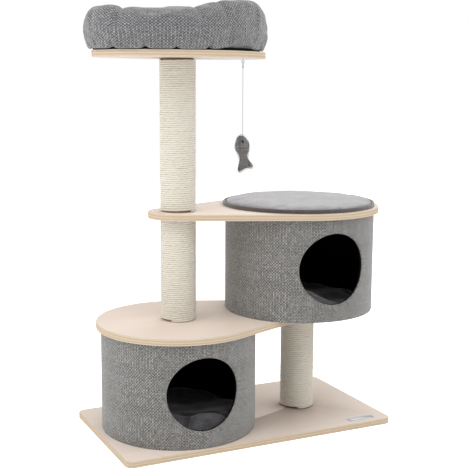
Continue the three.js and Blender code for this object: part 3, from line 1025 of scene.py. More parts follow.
def sewn_case(name: str, front: Array, back: Array, uv: Array) -> bpy.types.Object:
    """Sew two equal grids of cloth together along their rims.

    Args:
        name: The piece's name.
        front: Points of the front cloth, shape (rows, columns, 3), which also gives the seam.
        back: Points of the back cloth, the same shape.
        uv: Cloth coordinates of the grid, shape (rows, columns, 2), in metres.

    Returns:
        The closed case.
    """
    rows, columns = front.shape[:2]
    index = np.arange(rows * columns).reshape(rows, columns)
    inside = index[1:-1, 1:-1].ravel()
    other = index.copy()
    other[1:-1, 1:-1] = (rows * columns + np.arange(len(inside))).reshape(rows - 2, columns - 2)
    faces = grid_faces(rows, columns)
    points = np.concatenate([front.reshape(-1, 3), back.reshape(-1, 3)[inside]])
    laid = np.concatenate([uv.reshape(-1, 2), uv.reshape(-1, 2)[inside]])
    both = np.concatenate([faces, other.ravel()[faces][:, ::-1]])
    piece = mesh_object(name, points, [both], laid)
    weld(piece, 0)
    return piece


@dataclass(frozen=True)
class Filling:
    """How a sewn case swells when it is filled.

    Attributes:
        pressure: Push of the filling.
        growth: How much more cloth the case has than its first shape.
        cap: Furthest that any point may move, in metres.
        bending: How stiff the cloth is against creasing.
        frames: Steps of the simulation.
    """

    pressure: float = 4.0
    growth: float = 0.04
    cap: float = 10 * MM
    bending: float = 0.3
    frames: int = 20

    def swell(self, piece: bpy.types.Object, held: Array | None = None) -> None:
        """Fill the case by simulation and keep the result in its mesh.

        Args:
            piece: The closed case.
            held: Indices of the vertices that are tied down.
        """
        before = vertices_of(piece)
        cloth = piece.modifiers.new("filling", "CLOTH")
        settings = cloth.settings
        if held is not None and len(held):
            piece.vertex_groups.new(name="tied").add([int(index) for index in held], 1.0, "REPLACE")
            settings.vertex_group_mass = "tied"
        settings.quality = 5
        settings.mass = 0.2
        settings.tension_stiffness = settings.compression_stiffness = 15
        settings.shear_stiffness = 5
        settings.bending_stiffness = self.bending
        settings.use_pressure = True
        settings.uniform_pressure_force = self.pressure
        settings.shrink_min = -self.growth
        settings.effector_weights.gravity = 0
        cloth.point_cache.frame_start, cloth.point_cache.frame_end = 1, self.frames
        for frame_number in range(1, self.frames + 1):
            bpy.context.scene.frame_set(frame_number)
        bake_modifiers(piece)
        bpy.context.scene.frame_set(1)
        step = vertices_of(piece) - before
        length = np.maximum(np.linalg.norm(step, axis=1, keepdims=True), TINY)
        move_vertices(piece, before + step / length * self.cap * np.tanh(length / self.cap))


def subdivided(piece: bpy.types.Object) -> None:
    """Smooth a piece by one level of subdivision."""
    modifier = piece.modifiers.new("smooth", "SUBSURF")
    modifier.levels = modifier.render_levels = 1
    bake_modifiers(piece)


def set_down(piece: bpy.types.Object, board: float) -> None:
    """Flatten a filled piece where it lies on its board, at the given height, and smooth it."""
    points = vertices_of(piece)
    points[:, 2] = np.maximum(points[:, 2], board)
    move_vertices(piece, points)
    subdivided(piece)


def stitches(name: str, places: Array, along: Array, outward: Array, length: float,
             radius: float) -> bpy.types.Object:
    """Sew a row of short raised stitches.

    Args:
        name: The piece's name.
        places: Middle of each stitch, shape (n, 3).
        along: Direction of each stitch.
        outward: Direction that each stitch stands up in.
        length: Length of a stitch.
        radius: Radius of the thread.

    Returns:
        One object with every stitch.
    """
    sides = 6
    reach = np.linspace(-1, 1, 7)
    spin = round_steps(sides)
    side = np.cross(along, outward)
    lift = radius * (1 - 2.2 * np.abs(reach) ** 3)
    size = radius * np.sqrt(np.maximum(0.08, 1 - np.abs(reach) ** 4))
    line = (places[:, None] + along[:, None] * (reach * length / 2)[None, :, None]
            + outward[:, None] * lift[None, :, None])
    ring = (np.cos(spin)[None, None, :, None] * side[:, None, None]
            + np.sin(spin)[None, None, :, None] * outward[:, None, None])
    points = line[:, :, None] + ring * size[None, :, None, None]
    one = len(reach) * sides
    ends = np.array([np.arange(sides)[::-1], np.arange(sides) + one - sides])
    firsts = one * np.arange(len(places))
    faces = np.concatenate([grid_faces(len(reach), sides, wrap_columns=True, start=first)
                            for first in firsts])
    caps = np.concatenate([ends + first for first in firsts])
    uv = np.stack([np.tile(np.repeat(reach * length / 2, sides), len(places)),
                   np.tile(spin * radius, len(places) * len(reach))], axis=1)
    return mesh_object(name, points.reshape(-1, 3), [faces, caps], uv)


# ---------------------------------------------------------------- studio


@dataclass
class Studio:
    """The camera, floor and light.

    Attributes:
        place: The camera's place.
        azimuth: Its bearing, in degrees from the front.
        pitch: How far it looks down, in degrees.
        roll: How far it leans, in degrees.
        lens: Focal length on a 36 mm sensor.
        reach: How far the floor runs on every side.
        aim: The place that the lamps face.
    """

    place: tuple[float, float, float] = (-1.07524, -2.22885, 0.89116)
    azimuth: float = -25.807
    pitch: float = 8.969
    roll: float = 0.315
    lens: float = 73.8
    reach: float = 6.0
    aim: tuple[float, float, float] = (0.0, 0.0, 0.5)

    def build(self) -> None:
        """Set up the whole studio."""
        self.build_camera()
        self.build_floor()
        self.build_surround()
        self.build_lamps()

    def build_camera(self) -> None:
        """Make the camera and give it to the scene."""
        data = bpy.data.cameras.new("camera")
        data.lens, data.sensor_width = self.lens, 36.0
        data.clip_start, data.clip_end = 0.05, 100.0
        camera = bpy.data.objects.new("camera", data)
        bpy.context.scene.collection.objects.link(camera)
        bearing, tilt, lean = (math.radians(angle)
                               for angle in (self.azimuth, self.pitch, self.roll))
        back = Vector((math.sin(bearing) * math.cos(tilt), -math.cos(bearing) * math.cos(tilt),
                       math.sin(tilt)))
        right = Vector((math.cos(bearing), math.sin(bearing), 0.0))
        up = back.cross(right)
        across = math.cos(lean) * right + math.sin(lean) * up
        above = -math.sin(lean) * right + math.cos(lean) * up
        axes = Matrix((across, above, back)).transposed().to_4x4()
        camera.matrix_world = Matrix.Translation(self.place) @ axes
        bpy.context.scene.camera = camera

    def build_floor(self) -> None:
        """Lay a flat floor just under the object, out to every side."""
        grid = np.array([(x, y) for y in (-self.reach, self.reach)
                         for x in (-self.reach, self.reach)])
        floor = mesh_object("floor", at_height(grid, CAD_LOW[2] - 0.5 * MM), [grid_faces(2, 2)],
                            grid)
        dress(floor, FLOOR)
        floor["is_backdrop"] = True

    def build_surround(self) -> None:
        """Surround the object with soft white light, a little stronger from both sides."""
        world = bpy.data.worlds.new("surround")
        world.use_nodes = True
        bpy.context.scene.world = world
        graph = Graph(world.node_tree)
        shader = world.node_tree.nodes["Background"]
        direction = graph.add("ShaderNodeTexCoord").outputs["Generated"]
        x, y, z = graph.split(direction)
        bearing = math.radians(self.azimuth)
        sideways = graph.math("ABSOLUTE", graph.math(
            "ADD", graph.math("MULTIPLY", x, math.cos(bearing)),
            graph.math("MULTIPLY", y, math.sin(bearing))))
        side = graph.span(sideways, 0.3, 0.95, 0.27, 1.0)
        light = graph.math("ADD", side, graph.span(z, 0.25, 1.0, 0.0, 0.55))
        seen = graph.add("ShaderNodeLightPath").outputs["Is Camera Ray"]
        graph.feed(shader.inputs["Color"], (1.0, 1.0, 1.0, 1.0))
        graph.feed(shader.inputs["Strength"], graph.between(seen, light, 1.0))
        bpy.context.scene.view_settings.view_transform = "Standard"

    def build_lamps(self) -> None:
        """Hang four large soft lamps: above in front, left, right and behind."""
        for name, place, size, power in (
            ("front lamp", (-0.5, -1.9, 2.9), 1.8, 19.5),
            ("left lamp", (-1.5, -0.4, 1.35), 1.8, 14.0),
            ("right lamp", (1.9, -1.8, 1.7), 3.0, 17.0),
            ("back lamp", (1.5, 1.5, 2.2), 2.0, 27.0),
        ):
            data = bpy.data.lights.new(name, "AREA")
            data.shape, data.size, data.energy = "SQUARE", size, power
            lamp = bpy.data.objects.new(name, data)
            bpy.context.scene.collection.objects.link(lamp)
            facing = (Vector(self.aim) - Vector(place)).to_track_quat("-Z", "Y")
            lamp.matrix_world = Matrix.Translation(place) @ facing.to_matrix().to_4x4()


# ---------------------------------------------------------------- toy


@dataclass
class Toy:
    """A stuffed fish that hangs by a cord from a screw eye.

    Attributes:
        cord_radius: Radius of the cord.
        inside: How far the cord runs on into the fish.
        wire: Radius of the screw eye's wire.
        turn: The fish's bearing about the cord, in degrees.
    """

    cord_radius: float = 0.75 * MM
    inside: float = 48 * MM
    wire: float = 1.0 * MM
    turn: float = -25.0

    def build(self) -> None:
        """Make the cord, its loop and knot, and the fish."""
        knot_low, knot_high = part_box("toy_knot")
        fish_low, fish_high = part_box("toy_fish")
        eye_low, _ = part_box("screw_eye")
        axis = (knot_low + knot_high) / 2
        pivot = eye_low.z + self.wire
        loop = self.build_loop(axis, pivot)
        fish = self.build_fish(Vector((axis.x, axis.y, fish_high.z)), fish_high.z - fish_low.z)
        self.build_cord(axis, knot_low.z, fish_high.z)

    def build_cord(self, axis: Vector, top: float, nose: float) -> None:
        """Hang the cord from the knot down into the fish.

        Args:
            axis: Centre of the knot.
            top: Height where the cord leaves the knot.
            nose: Height of the fish's nose.
        """
        start, end = top + 0.3 * MM, nose - self.inside
        height = np.linspace(start, end, 240)
        twist = (start - height) / (3.2 * MM) * TURN
        path = xyz(axis.x, axis.y, height)
        cord = swept("toy_cord", path, self.cord_radius * (1 + 0.05 * np.sin(twist)), sides=12)
        dress(cord, STRING)
        mount(cord, "toy_line", "string", "toy_string")

    def build_loop(self, axis: Vector, pivot: float) -> bpy.types.Object:
        """Loop the cord over the screw eye's wire and knot it.

        Args:
            axis: Centre of the knot.
            pivot: Height of the lowest point of the wire's centre line.

        Returns:
            The loop and knot in one piece.
        """
        over = self.wire + self.cord_radius + 0.15 * MM
        arc = np.linspace(-0.15 * math.pi, 1.15 * math.pi, 28)
        bend = np.stack([over * np.cos(arc), over * np.sin(arc)], axis=1)
        drop = pivot - axis.z - 1.0 * MM
        fall = np.linspace(0.12, 1, 10)[:, None]
        legs = [end * (1 - fall) + np.array([side * 0.5 * MM, -drop]) * fall
                for end, side in ((bend[0], 1), (bend[-1], -1))]
        line = np.concatenate([legs[0][::-1], bend, legs[1]])
        path = xyz(axis.x + np.linspace(-0.5, 0.5, len(line)) * MM, axis.y + line[:, 0],
                   pivot + line[:, 1])
        loop = swept("loop", path, self.cord_radius * 0.9, sides=10)
        t, wide = round_steps(96), 0.62 * MM
        trefoil = xyz(axis.x + wide * (np.sin(t) + 2 * np.sin(2 * t)) * 0.85,
                      axis.y + wide * (np.cos(t) - 2 * np.cos(2 * t)) * 0.85,
                      axis.z - wide * np.sin(3 * t) * 1.8)
        knot = swept("knot", trefoil, self.cord_radius * 0.95, sides=10, closed=True)
        both = join("toy_loop_and_knot", [loop, knot])
        dress(both, STRING)
        mount(both, "toy_hook_knot", "string", "toy_knot")
        return both

    def build_fish(self, nose: Vector, length: float) -> bpy.types.Object:
        """Sew and stuff the fish.

        Args:
            nose: The fish's top, where the cord enters.
            length: From nose to tail.

        Returns:
            The fish's body, with its eyes and seam riding on it.
        """
        rows, columns = 61, 27
        down = np.linspace(0, 1, rows)
        across = np.linspace(-1, 1, columns)
        stations = [0.0, 0.05, 0.11, 0.19, 0.31, 0.43, 0.52, 0.61, 0.71, 0.79, 0.87, 0.94, 1.0]
        left, right = (softened(np.interp(down, stations, widths), 7, "edge") * MM for widths in (
            [9, 14.4, 15.6, 17.6, 20.0, 19.2, 15.8, 11.8, 8.4, 8.2, 9.6, 11.2, 11.5],
            [4, 8.6, 12.2, 15.8, 17.8, 17.6, 16.7, 15.4, 14.4, 17.0, 22.5, 27.0, 28.0]))
        width = (left + right)[:, None] / 2
        x = (right - left)[:, None] / 2 + width * across[None, :]
        fork = np.interp(across, [-1, -0.8, -0.45, -0.1, 0.3, 0.7, 0.9, 1],
                         [94, 98.5, 95.5, 90, 87.5, 87.5, 87, 83]) * MM
        brow = 3.2 * MM * np.abs(across + 0.15) ** 2.2 * (1 - down[:, None])**4
        middle = 0.9 * length
        z = -(down[:, None] * middle + down[:, None]**5 * (fork[None, :] - middle)) - brow
        thick = np.interp(down, [0, 0.05, 0.15, 0.35, 0.55, 0.7, 0.8, 1.0],
                          [1.2, 4.2, 6.0, 6.9, 6.0, 4.4, 3.4, 1.6]) * MM
        dome = np.sqrt(np.maximum(0, 1 - across**2))[None, :] ** 0.8
        ends = np.sqrt(np.clip(np.minimum(down / 0.05, (1 - down) / 0.03), 0, 1))[:, None]
        rng = np.random.default_rng(11)
        pucker = ripple(down[:, None] * length, random_waves(rng, 6, 0.35 * MM, 60, 160)) * (
            np.abs(across) ** 3)[None, :]
        puff = (thick[:, None] + pucker) * dome * ends
        front, back = xyz(x, -puff, z), xyz(x, puff, z)
        fish = sewn_case("toy_fish_body", front, back, np.stack([x, z], axis=-1))
        Filling(pressure=2.5, growth=0.06, cap=1.6 * MM, bending=0.1).swell(fish)
        rim = np.concatenate([front[:, 0], front[-1, 1:], front[::-1, -1][1:],
                              front[0, ::-1][1:-1]])
        seam = swept("toy_fish_seam", rim, 0.55 * MM, sides=6, closed=True)
        eyes = self.build_eyes(fish, length)
        pose = (Matrix.Translation(nose + Vector((0.0, 0.0, 1.0 * MM)))
                @ Matrix.Rotation(math.radians(self.turn), 4, "Z"))
        for piece in (fish, seam, *eyes):
            piece.data.transform(pose)
        subdivided(fish)
        dress(fish, FISH_MELANGE)
        dress(seam, FISH_MELANGE)
        mount(fish, "fish", "melange_fabric", "toy_fish")
        mount(seam, "fish", "melange_fabric")
        for eye in eyes:
            dress(eye, EYE_THREAD)
            mount(eye, "fish", "melange_fabric")
        return fish

    def build_eyes(self, fish: bpy.types.Object, length: float) -> list[bpy.types.Object]:
        """Embroider an eye on each side: a knot of crossed threads.

        Args:
            fish: The fish, upright at the origin.
            length: From nose to tail.

        Returns:
            The two eyes.
        """
        points, threads = vertices_of(fish), 6
        eyes = []
        for side, name in ((-1, "toy_fish_eye_front"), (1, "toy_fish_eye_back")):
            target = np.array([-1.0 * MM, side * 7 * MM, -0.185 * length])
            near = points[points[:, 1] * side > 0]
            seat = near[np.argmin(np.linalg.norm((near - target) * (1, 0.1, 1), axis=1))]
            angles = np.linspace(0, math.pi, threads, endpoint=False)
            along = xyz(np.cos(angles), 0.0, np.sin(angles))
            lift = (0.5 + 0.12 * np.arange(threads)[:, None]) * MM
            outward = np.tile([0.0, side, 0.0], (threads, 1))
            eyes.append(stitches(name, seat + outward * lift, along, outward, 7.4 * MM, 1.1 * MM))
        return eyes


# ---------------------------------------------------------------- boards


class Cut(Enum):
    """How a board is cut."""

    RECTANGLE = "rectangle with rounded corners"
    TEARDROP = "two arcs and their tangents"
    OVAL = "oval"


def edge_of(arcs: Sequence[tuple[float, float, float, float, float]], step: float = 2.0
            ) -> tuple[Array, Array]:
    """Points and outward normals round a closed outline of arcs joined by straight lines.

    Args:
        arcs: For each arc, its centre X and Y, radius, and first and last angle, in radians.
        step: Angle between points, in degrees.

    Returns:
        Points and normals, each of shape (n, 2), anticlockwise.
    """
    points, normals = [], []
    for x, y, radius, first, last in arcs:
        angles = np.linspace(first, last, max(2, round(math.degrees(last - first) / step) + 1))
        spokes = circle(angles)
        points.append(np.array([x, y]) + radius * spokes)
        normals.append(spokes)
    return np.concatenate(points), np.concatenate(normals)


def rounded_rectangle(middle: Vector, half_x: float, half_y: float, corner: float,
                      pull: float = 0.0, step: float = 6.0) -> tuple[Array, Array]:
    """Points and normals round a rectangle with rounded corners.

    Args:
        middle: Its middle.
        half_x: Half its length.
        half_y: Half its width.
        corner: Radius of its corners.
        pull: How far the outline is drawn in.
        step: Angle between points, in degrees.

    Returns:
        Points and normals, each of shape (n, 2), anticlockwise.
    """
    x, y = half_x - corner, half_y - corner
    return edge_of([(middle.x + across, middle.y + along, corner - pull, turn * QUARTER,
                     (turn + 1) * QUARTER)
                    for turn, (across, along) in enumerate(((x, y), (-x, y), (-x, -y), (x, -y)))],
                   step)


def oval(low: Vector, high: Vector, count: int) -> tuple[Array, Array]:
    """Points and normals round the oval that fills a box."""
    ring, middle = circle(round_steps(count)), (low + high) / 2
    half = np.array([high.x - low.x, high.y - low.y]) / 2
    return ring * half + (middle.x, middle.y), unit_rows(ring / half)


def slab(name: str, outline: tuple[Array, Array], low: float, high: float,
         rounding: float) -> bpy.types.Object:
    """Make a flat board with rounded edges.

    Args:
        name: The piece's name.
        outline: Points and normals round the board.
        low: Height of its underside.
        high: Height of its top.
        rounding: Radius of its edges.

    Returns:
        The board: slot 0 is its faces and slot 1 its edge, whose V coordinate is the height.
    """
    points, normals = outline
    count = len(points)
    swing = np.linspace(0, QUARTER, 5)
    inset = rounding * (1 - np.sin(swing))
    rise = rounding * (1 - np.cos(swing))
    profile = [*zip(inset, low + rise), *zip(inset[::-1], high - rise[::-1])]
    rows = np.concatenate([at_height(points - normals * pull, height)
                           for pull, height in profile])
    along = run_length(points)
    around = along[-1] + float(np.linalg.norm(points[0] - points[-1]))
    uv = np.stack([np.tile(along, len(profile)),
                   np.repeat([height - low for _, height in profile], count)], axis=1)
    last = count * (len(profile) - 1)
    ends = np.array([np.arange(count)[::-1], np.arange(count) + last])
    return mesh_object(name, rows, [ends, grid_faces(len(profile), count, wrap_columns=True)], uv,
                       (around, 0.0))


@dataclass
class Board:
    """A plywood board, cut out, rounded along its edges and drilled for its bolt.

    Attributes:
        node: The CAD node that it stands for.
        cut: How it is cut.
        corner: Corner radius of a rectangle.
        broad_x: Centre of a teardrop's broad end.
        tip_x: Centre of its narrow end.
        broad: Radius of the broad end.
        tip: Radius of the narrow end.
        bolt_x: Where the bolt's head is sunk, if it is.
        bolt_side: 1 if the head is sunk from above, -1 from below.
        sunk: How deep the head is sunk.
        rounding: Radius of the sanded edges.
    """

    node: str
    cut: Cut
    corner: float = 20 * MM
    broad_x: float = 0.0
    tip_x: float = 0.0
    broad: float = 210 * MM
    tip: float = 76 * MM
    bolt_x: float | None = None
    bolt_side: int = 1
    sunk: float = 5.3 * MM
    rounding: float = 1.5 * MM

    def build(self) -> None:
        """Cut, drill and finish the board."""
        low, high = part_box(self.node)
        board = slab(f"{self.node}_ply", self.outline(low, high), low.z, high.z, self.rounding)
        if self.bolt_x is not None:
            self.drill(board, low.z, high.z)
        dress(board, FACE, EDGE)
        mount(board, "root", "plywood", self.node)

    def outline(self, low: Vector, high: Vector) -> tuple[Array, Array]:
        """Points and normals round the board, which fills the CAD node's box.

        Args:
            low: The box's low corner.
            high: The box's high corner.

        Returns:
            Points and normals, each of shape (n, 2), anticlockwise.
        """
        if self.cut is Cut.OVAL:
            return oval(low, high, 240)
        if self.cut is Cut.RECTANGLE:
            return rounded_rectangle((low + high) / 2, (high.x - low.x) / 2,
                                     (high.y - low.y) / 2, self.corner)
        lean = math.asin((self.broad - self.tip) / abs(self.tip_x - self.broad_x))
        towards = math.pi if self.tip_x > self.broad_x else 0.0
        reach = QUARTER + lean
        return edge_of([
            (self.broad_x, 0.0, self.broad, towards - reach, towards + reach),
            (self.tip_x, 0.0, self.tip, towards + reach, towards + TURN - reach),
        ], 1.5)

    def drill(self, board: bpy.types.Object, low: float, high: float) -> None:
        """Sink the bolt's head and drill its shank right through.

        Args:
            board: The board.
            low: Height of its underside.
            high: Height of its top.
        """
        head, shank, clear = 11.5 * MM, 4.5 * MM, 1 * MM
        seat = high - self.sunk if self.bolt_side > 0 else low + self.sunk
        radii = (shank, head) if self.bolt_side > 0 else (head, shank)
        cutter = turned("drill", [(0, low - clear), (radii[0], low - clear), (radii[0], seat),
                                  (radii[1], seat), (radii[1], high + clear), (0, high + clear)],
                        (self.bolt_x, 0.0), 48)
        cut = board.modifiers.new("drill", "BOOLEAN")
        cut.operation, cut.solver, cut.object = "DIFFERENCE", "EXACT", cutter
        bake_modifiers(board)
        bpy.data.objects.remove(cutter)


# ---------------------------------------------------------------- posts


@dataclass
class RopePost:
    """A card tube wound with three-strand sisal rope, stapled at both ends.

    Attributes:
        name: Short, middle or top.
        start: Bearing where the rope starts at the foot, in degrees from the front to the right.
        seed: Sets the rope's small variations.
        rope: Radius of the rope.
        pitch: Height of one winding.
        lay: Length of one twist of the strands.
        steps: Steps in one winding.
    """

    name: str
    start: float
    seed: int
    rope: float = 2.66 * MM
    pitch: float = 5.28 * MM
    lay: float = 17 * MM
    steps: int = 144

    def build(self) -> None:
        """Wind the rope and staple its ends."""
        node = f"{self.name}_post_sisal"
        low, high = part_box(node)
        centre = (low + high) / 2
        reach = (high.x - low.x) / 2 - self.rope
        turns = (high.z - low.z - 2 * self.rope) / self.pitch
        count = int(turns * self.steps)
        winding = np.linspace(0, turns, count) * TURN + math.radians(self.start)
        travel = winding * reach
        rng = np.random.default_rng(self.seed)
        slack = ripple(travel, random_waves(rng, 8, 0.22 * MM, 3.0, 21.0))
        lift = ripple(travel, random_waves(rng, 8, 0.16 * MM, 4.0, 16.0))
        lift[: self.steps] *= np.linspace(0, 1, self.steps)
        lift[-self.steps:] *= np.linspace(1, 0, self.steps)
        height = low.z + self.rope + np.linspace(0, turns, count) * self.pitch + lift
        sweep = np.radians([-112, -66, -36, -10, 14, 42, 74, 180])
        spread = np.radians(-4.0) + sweep
        strand = travel / self.lay * TURN / 3
        lobe = 1 - 0.10 * (1 - np.abs(np.cos(1.5 * spread[None, :] - 1.5 * strand[:, None])))
        plump = 1 + ripple(travel, random_waves(rng, 6, 0.035, 8.0, 60.0))
        size = self.rope * 1.12 * lobe * plump[:, None]
        taper = np.minimum(1, 0.55 + np.arange(count) / 9.0)
        size *= np.minimum(taper, taper[::-1])[:, None]
        radius = reach + slack[:, None] + size * np.cos(spread)[None, :]
        z = height[:, None] + size * np.sin(spread)[None, :]
        points = xyz(centre.x + radius * np.sin(winding)[:, None],
                     centre.y - radius * np.cos(winding)[:, None], z)
        sides = len(spread)
        uv = np.stack([np.repeat(travel, sides), np.tile(spread * self.rope, count)], axis=1)
        ends = np.array([np.arange(sides)[::-1], np.arange(sides) + (count - 1) * sides])
        rope = mesh_object(f"{self.name}_post_rope", points.reshape(-1, 3),
                           [grid_faces(count, sides, wrap_columns=True), ends],
                           uv, (0.0, TURN * self.rope))
        dress(rope, ROPE)
        mount(rope, "root", "sisal", node)
        self.build_staples(centre, low.z, high.z, reach + self.rope)

    def build_staples(self, centre: Vector, low: float, high: float, reach: float) -> None:
        """Staple the rope's ends to the tube.

        Args:
            centre: Middle of the post.
            low: Height of the rope's foot.
            high: Height of its top.
            reach: Radius of the wound post.
        """
        crown, leg, wire = 5.0 * MM, 2.6 * MM, 0.45 * MM
        made = []
        for bearing, height in (
            (self.start + 12, low + self.rope), (26.0, high - 2.2 * self.rope),
            (-32.0, high - 2.4 * self.rope), (self.start + 34, low + self.rope),
        ):
            angle = math.radians(bearing)
            out = np.array([math.sin(angle), -math.cos(angle), 0.0])
            side = np.array([math.cos(angle), math.sin(angle), 0.15])
            base = np.array([centre.x, centre.y, height])
            corners = [(-crown, -leg), (-crown, 0.2 * MM), (-crown * 0.92, 0.45 * MM),
                       (0.0, 0.5 * MM), (crown * 0.92, 0.45 * MM), (crown, 0.2 * MM), (crown, -leg)]
            path = np.array([base + out * (reach + push) + side * along
                             for along, push in corners])
            made.append(swept("staple", path, wire, sides=6))
        staples = join(f"{self.name}_post_staples", made)
        dress(staples, STEEL)
        mount(staples, "root", "steel")


# ---------------------------------------------------------------- dens


@dataclass
class Den:
    """A round den: bent wall, fabric cover, felt lining and a loose cushion.

    Attributes:
        name: Lower or upper.
        facing: How far the opening is turned from the front, in degrees.
        seed: Sets the small waves in the fabric.
        opening: Radius of the opening.
        opening_height: From the board under the den to the opening's centre.
        folds: Ridges and hollows of the cushion: X, Y, bearing, length, width and height.
        tilt: How much higher the cushion lies on its left than on its right.
        crown: How high its middle stands over its rim, as a share of its height.
        rays: Columns of cloth round the opening.
        rings: Rows of cloth between the opening and the rim.
        room: How far the cushion may reach from the den's axis.
    """

    name: str
    facing: float
    seed: int
    folds: tuple[tuple[float, float, float, float, float, float], ...]
    tilt: float = 0.0
    crown: float = 0.48
    opening: float = 91.5 * MM
    opening_height: float = 135 * MM
    rays: int = 400
    rings: int = 52
    room: float = 186 * MM

    def __post_init__(self) -> None:
        """Take the den's place and sizes from its CAD nodes."""
        self.low, self.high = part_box(f"{self.name}_den_cover")
        self.centre = (self.low + self.high) / 2
        self.radius = (self.high.x - self.low.x) / 2
        self.board = self.low.z - 0.3 * MM
        self.eye_level = self.board + self.opening_height

    def build(self) -> None:
        """Make the cover, the lining, the seam and the cushion."""
        r, o = self.radius, self.opening
        cover = self.wrap(
            f"{self.name}_den_fabric", r, r - 1.7 * MM, 0.22 * MM,
            [(o + wider * MM, r - deeper * MM) for wider, deeper in (
                (0.1, 2.9), (-0.2, 3.0), (-0.6, 2.7), (-0.7, 2.0), (-0.5, 1.1), (0.1, 0.45),
                (1.0, 0.1))])
        dress(cover, MELANGE)
        mount(cover, "root", "melange_fabric", f"{self.name}_den_cover")
        lining_low, lining_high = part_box(f"{self.name}_den_lining")
        back = (lining_high.x - lining_low.x) / 2
        lining = self.wrap(
            f"{self.name}_den_felt", back - 1.7 * MM, back, 0.0,
            [(o + wider * MM, r - deeper * MM) for wider, deeper in (
                (-0.1, 6.9), (-0.15, 3.3), (-0.8, 3.05), (-1.3, 3.4), (-1.4, 5.0), (-1.3, 7.6),
                (-0.6, 8.6), (0.6, 8.95))])
        dress(lining, LINING)
        mount(lining, "root", "black_felt", f"{self.name}_den_lining")
        self.build_seam()
        self.build_cushion()

    def at(self, across: Array, height: Array, radius: Array | float) -> Array:
        """Points at a distance across the den's front, measured straight, and at a radius.

        Args:
            across: Distance to the right of the opening's middle.
            height: Height of each point.
            radius: Distance from the den's axis.

        Returns:
            The points, shape (n, 3).
        """
        facing = math.radians(self.facing)
        depth = np.sqrt(np.maximum(np.asarray(radius) ** 2 - across**2, 0))
        return xyz(self.centre.x + across * math.cos(facing) + depth * math.sin(facing),
                   self.centre.y + across * math.sin(facing) - depth * math.cos(facing), height)

    def round(self, bearing: Array, height: Array, radius: Array | float) -> Array:
        """Points at a bearing from the opening's middle, in radians, and at a radius."""
        turn = bearing + math.radians(self.facing)
        return xyz(self.centre.x + radius * np.sin(turn), self.centre.y - radius * np.cos(turn),
                   height)

    def wrap(self, name: str, face: float, back: float, slack: float,
             lip: Sequence[tuple[float, float]]) -> bpy.types.Object:
        """Wrap a sheet of cloth round the den, with a hole turned in at the opening.

        Args:
            name: The piece's name.
            face: Radius of the side that shows.
            back: Radius of the side against the wall.
            slack: Height of the small waves in the cloth.
            lip: The turned edge from the back to the face: radius from the opening's axis, and
                radius from the den's axis.

        Returns:
            The closed sheet, with its cloth coordinates in metres.
        """
        half = math.pi * self.radius - 0.4 * MM
        low, high = self.low.z - self.eye_level, self.high.z - self.eye_level
        long, short = round(self.rays * 0.4), round(self.rays * 0.1)
        rim = np.concatenate([
            np.linspace(corner, following, steps, endpoint=False)
            for corner, following, steps in (
                ((half, low), (half, high), short), ((half, high), (-half, high), long),
                ((-half, high), (-half, low), short), ((-half, low), (half, low), long))
        ])
        pointed = np.unwrap(np.arctan2(rim[:, 1], rim[:, 0]))
        even = pointed[0] + np.linspace(0, TURN, len(rim), endpoint=False)
        spoke = 0.4 * pointed + 0.6 * even
        start = self.opening + 2 * MM
        hole = np.stack([self.radius * np.arcsin(start * np.cos(spoke) / self.radius),
                         start * np.sin(spoke)], axis=1)
        share = np.linspace(0, 1, self.rings)[:, None, None]
        cloth = hole * (1 - share) + rim * share
        s, z = cloth[..., 0], cloth[..., 1]
        rng = np.random.default_rng(self.seed)
        wave = (ripple(s, random_waves(rng, 6, slack, 1.0, 9.0))
                * (0.5 + 0.5 * np.sin(z * 21 + ripple(s, [(1.4, 1.1, 0.3)]))))
        edge = np.minimum(high - z, z - low)
        wave = wave * np.clip((np.hypot(s, z) - self.opening) / (25 * MM), 0, 1)
        inward = 1.0 if face > back else -1.0
        tuck = 0.7 * MM * np.clip(1 - edge / (2.5 * MM), 0, 1) ** 2 * inward
        bearing = s / self.radius
        outer = self.round(bearing, z + self.eye_level, face + wave - tuck)
        inner = self.round(bearing, z + self.eye_level, back)[::-1]
        turned_in = np.stack([
            self.at(reach * np.cos(spoke), reach * np.sin(spoke) + self.eye_level, depth)
            for reach, depth in lip
        ])
        lip_uv = np.stack([
            np.stack([reach * np.cos(spoke), reach * np.sin(spoke)], axis=-1) for reach, _ in lip
        ])
        points = np.concatenate([outer, inner, turned_in])
        uv = np.concatenate([cloth, cloth[::-1], lip_uv])
        piece = mesh_object(name, points.reshape(-1, 3), [grid_faces(
            len(points), len(rim), wrap_rows=True, wrap_columns=True)], uv.reshape(-1, 2))
        weld(piece, 0.001 * MM)
        return piece

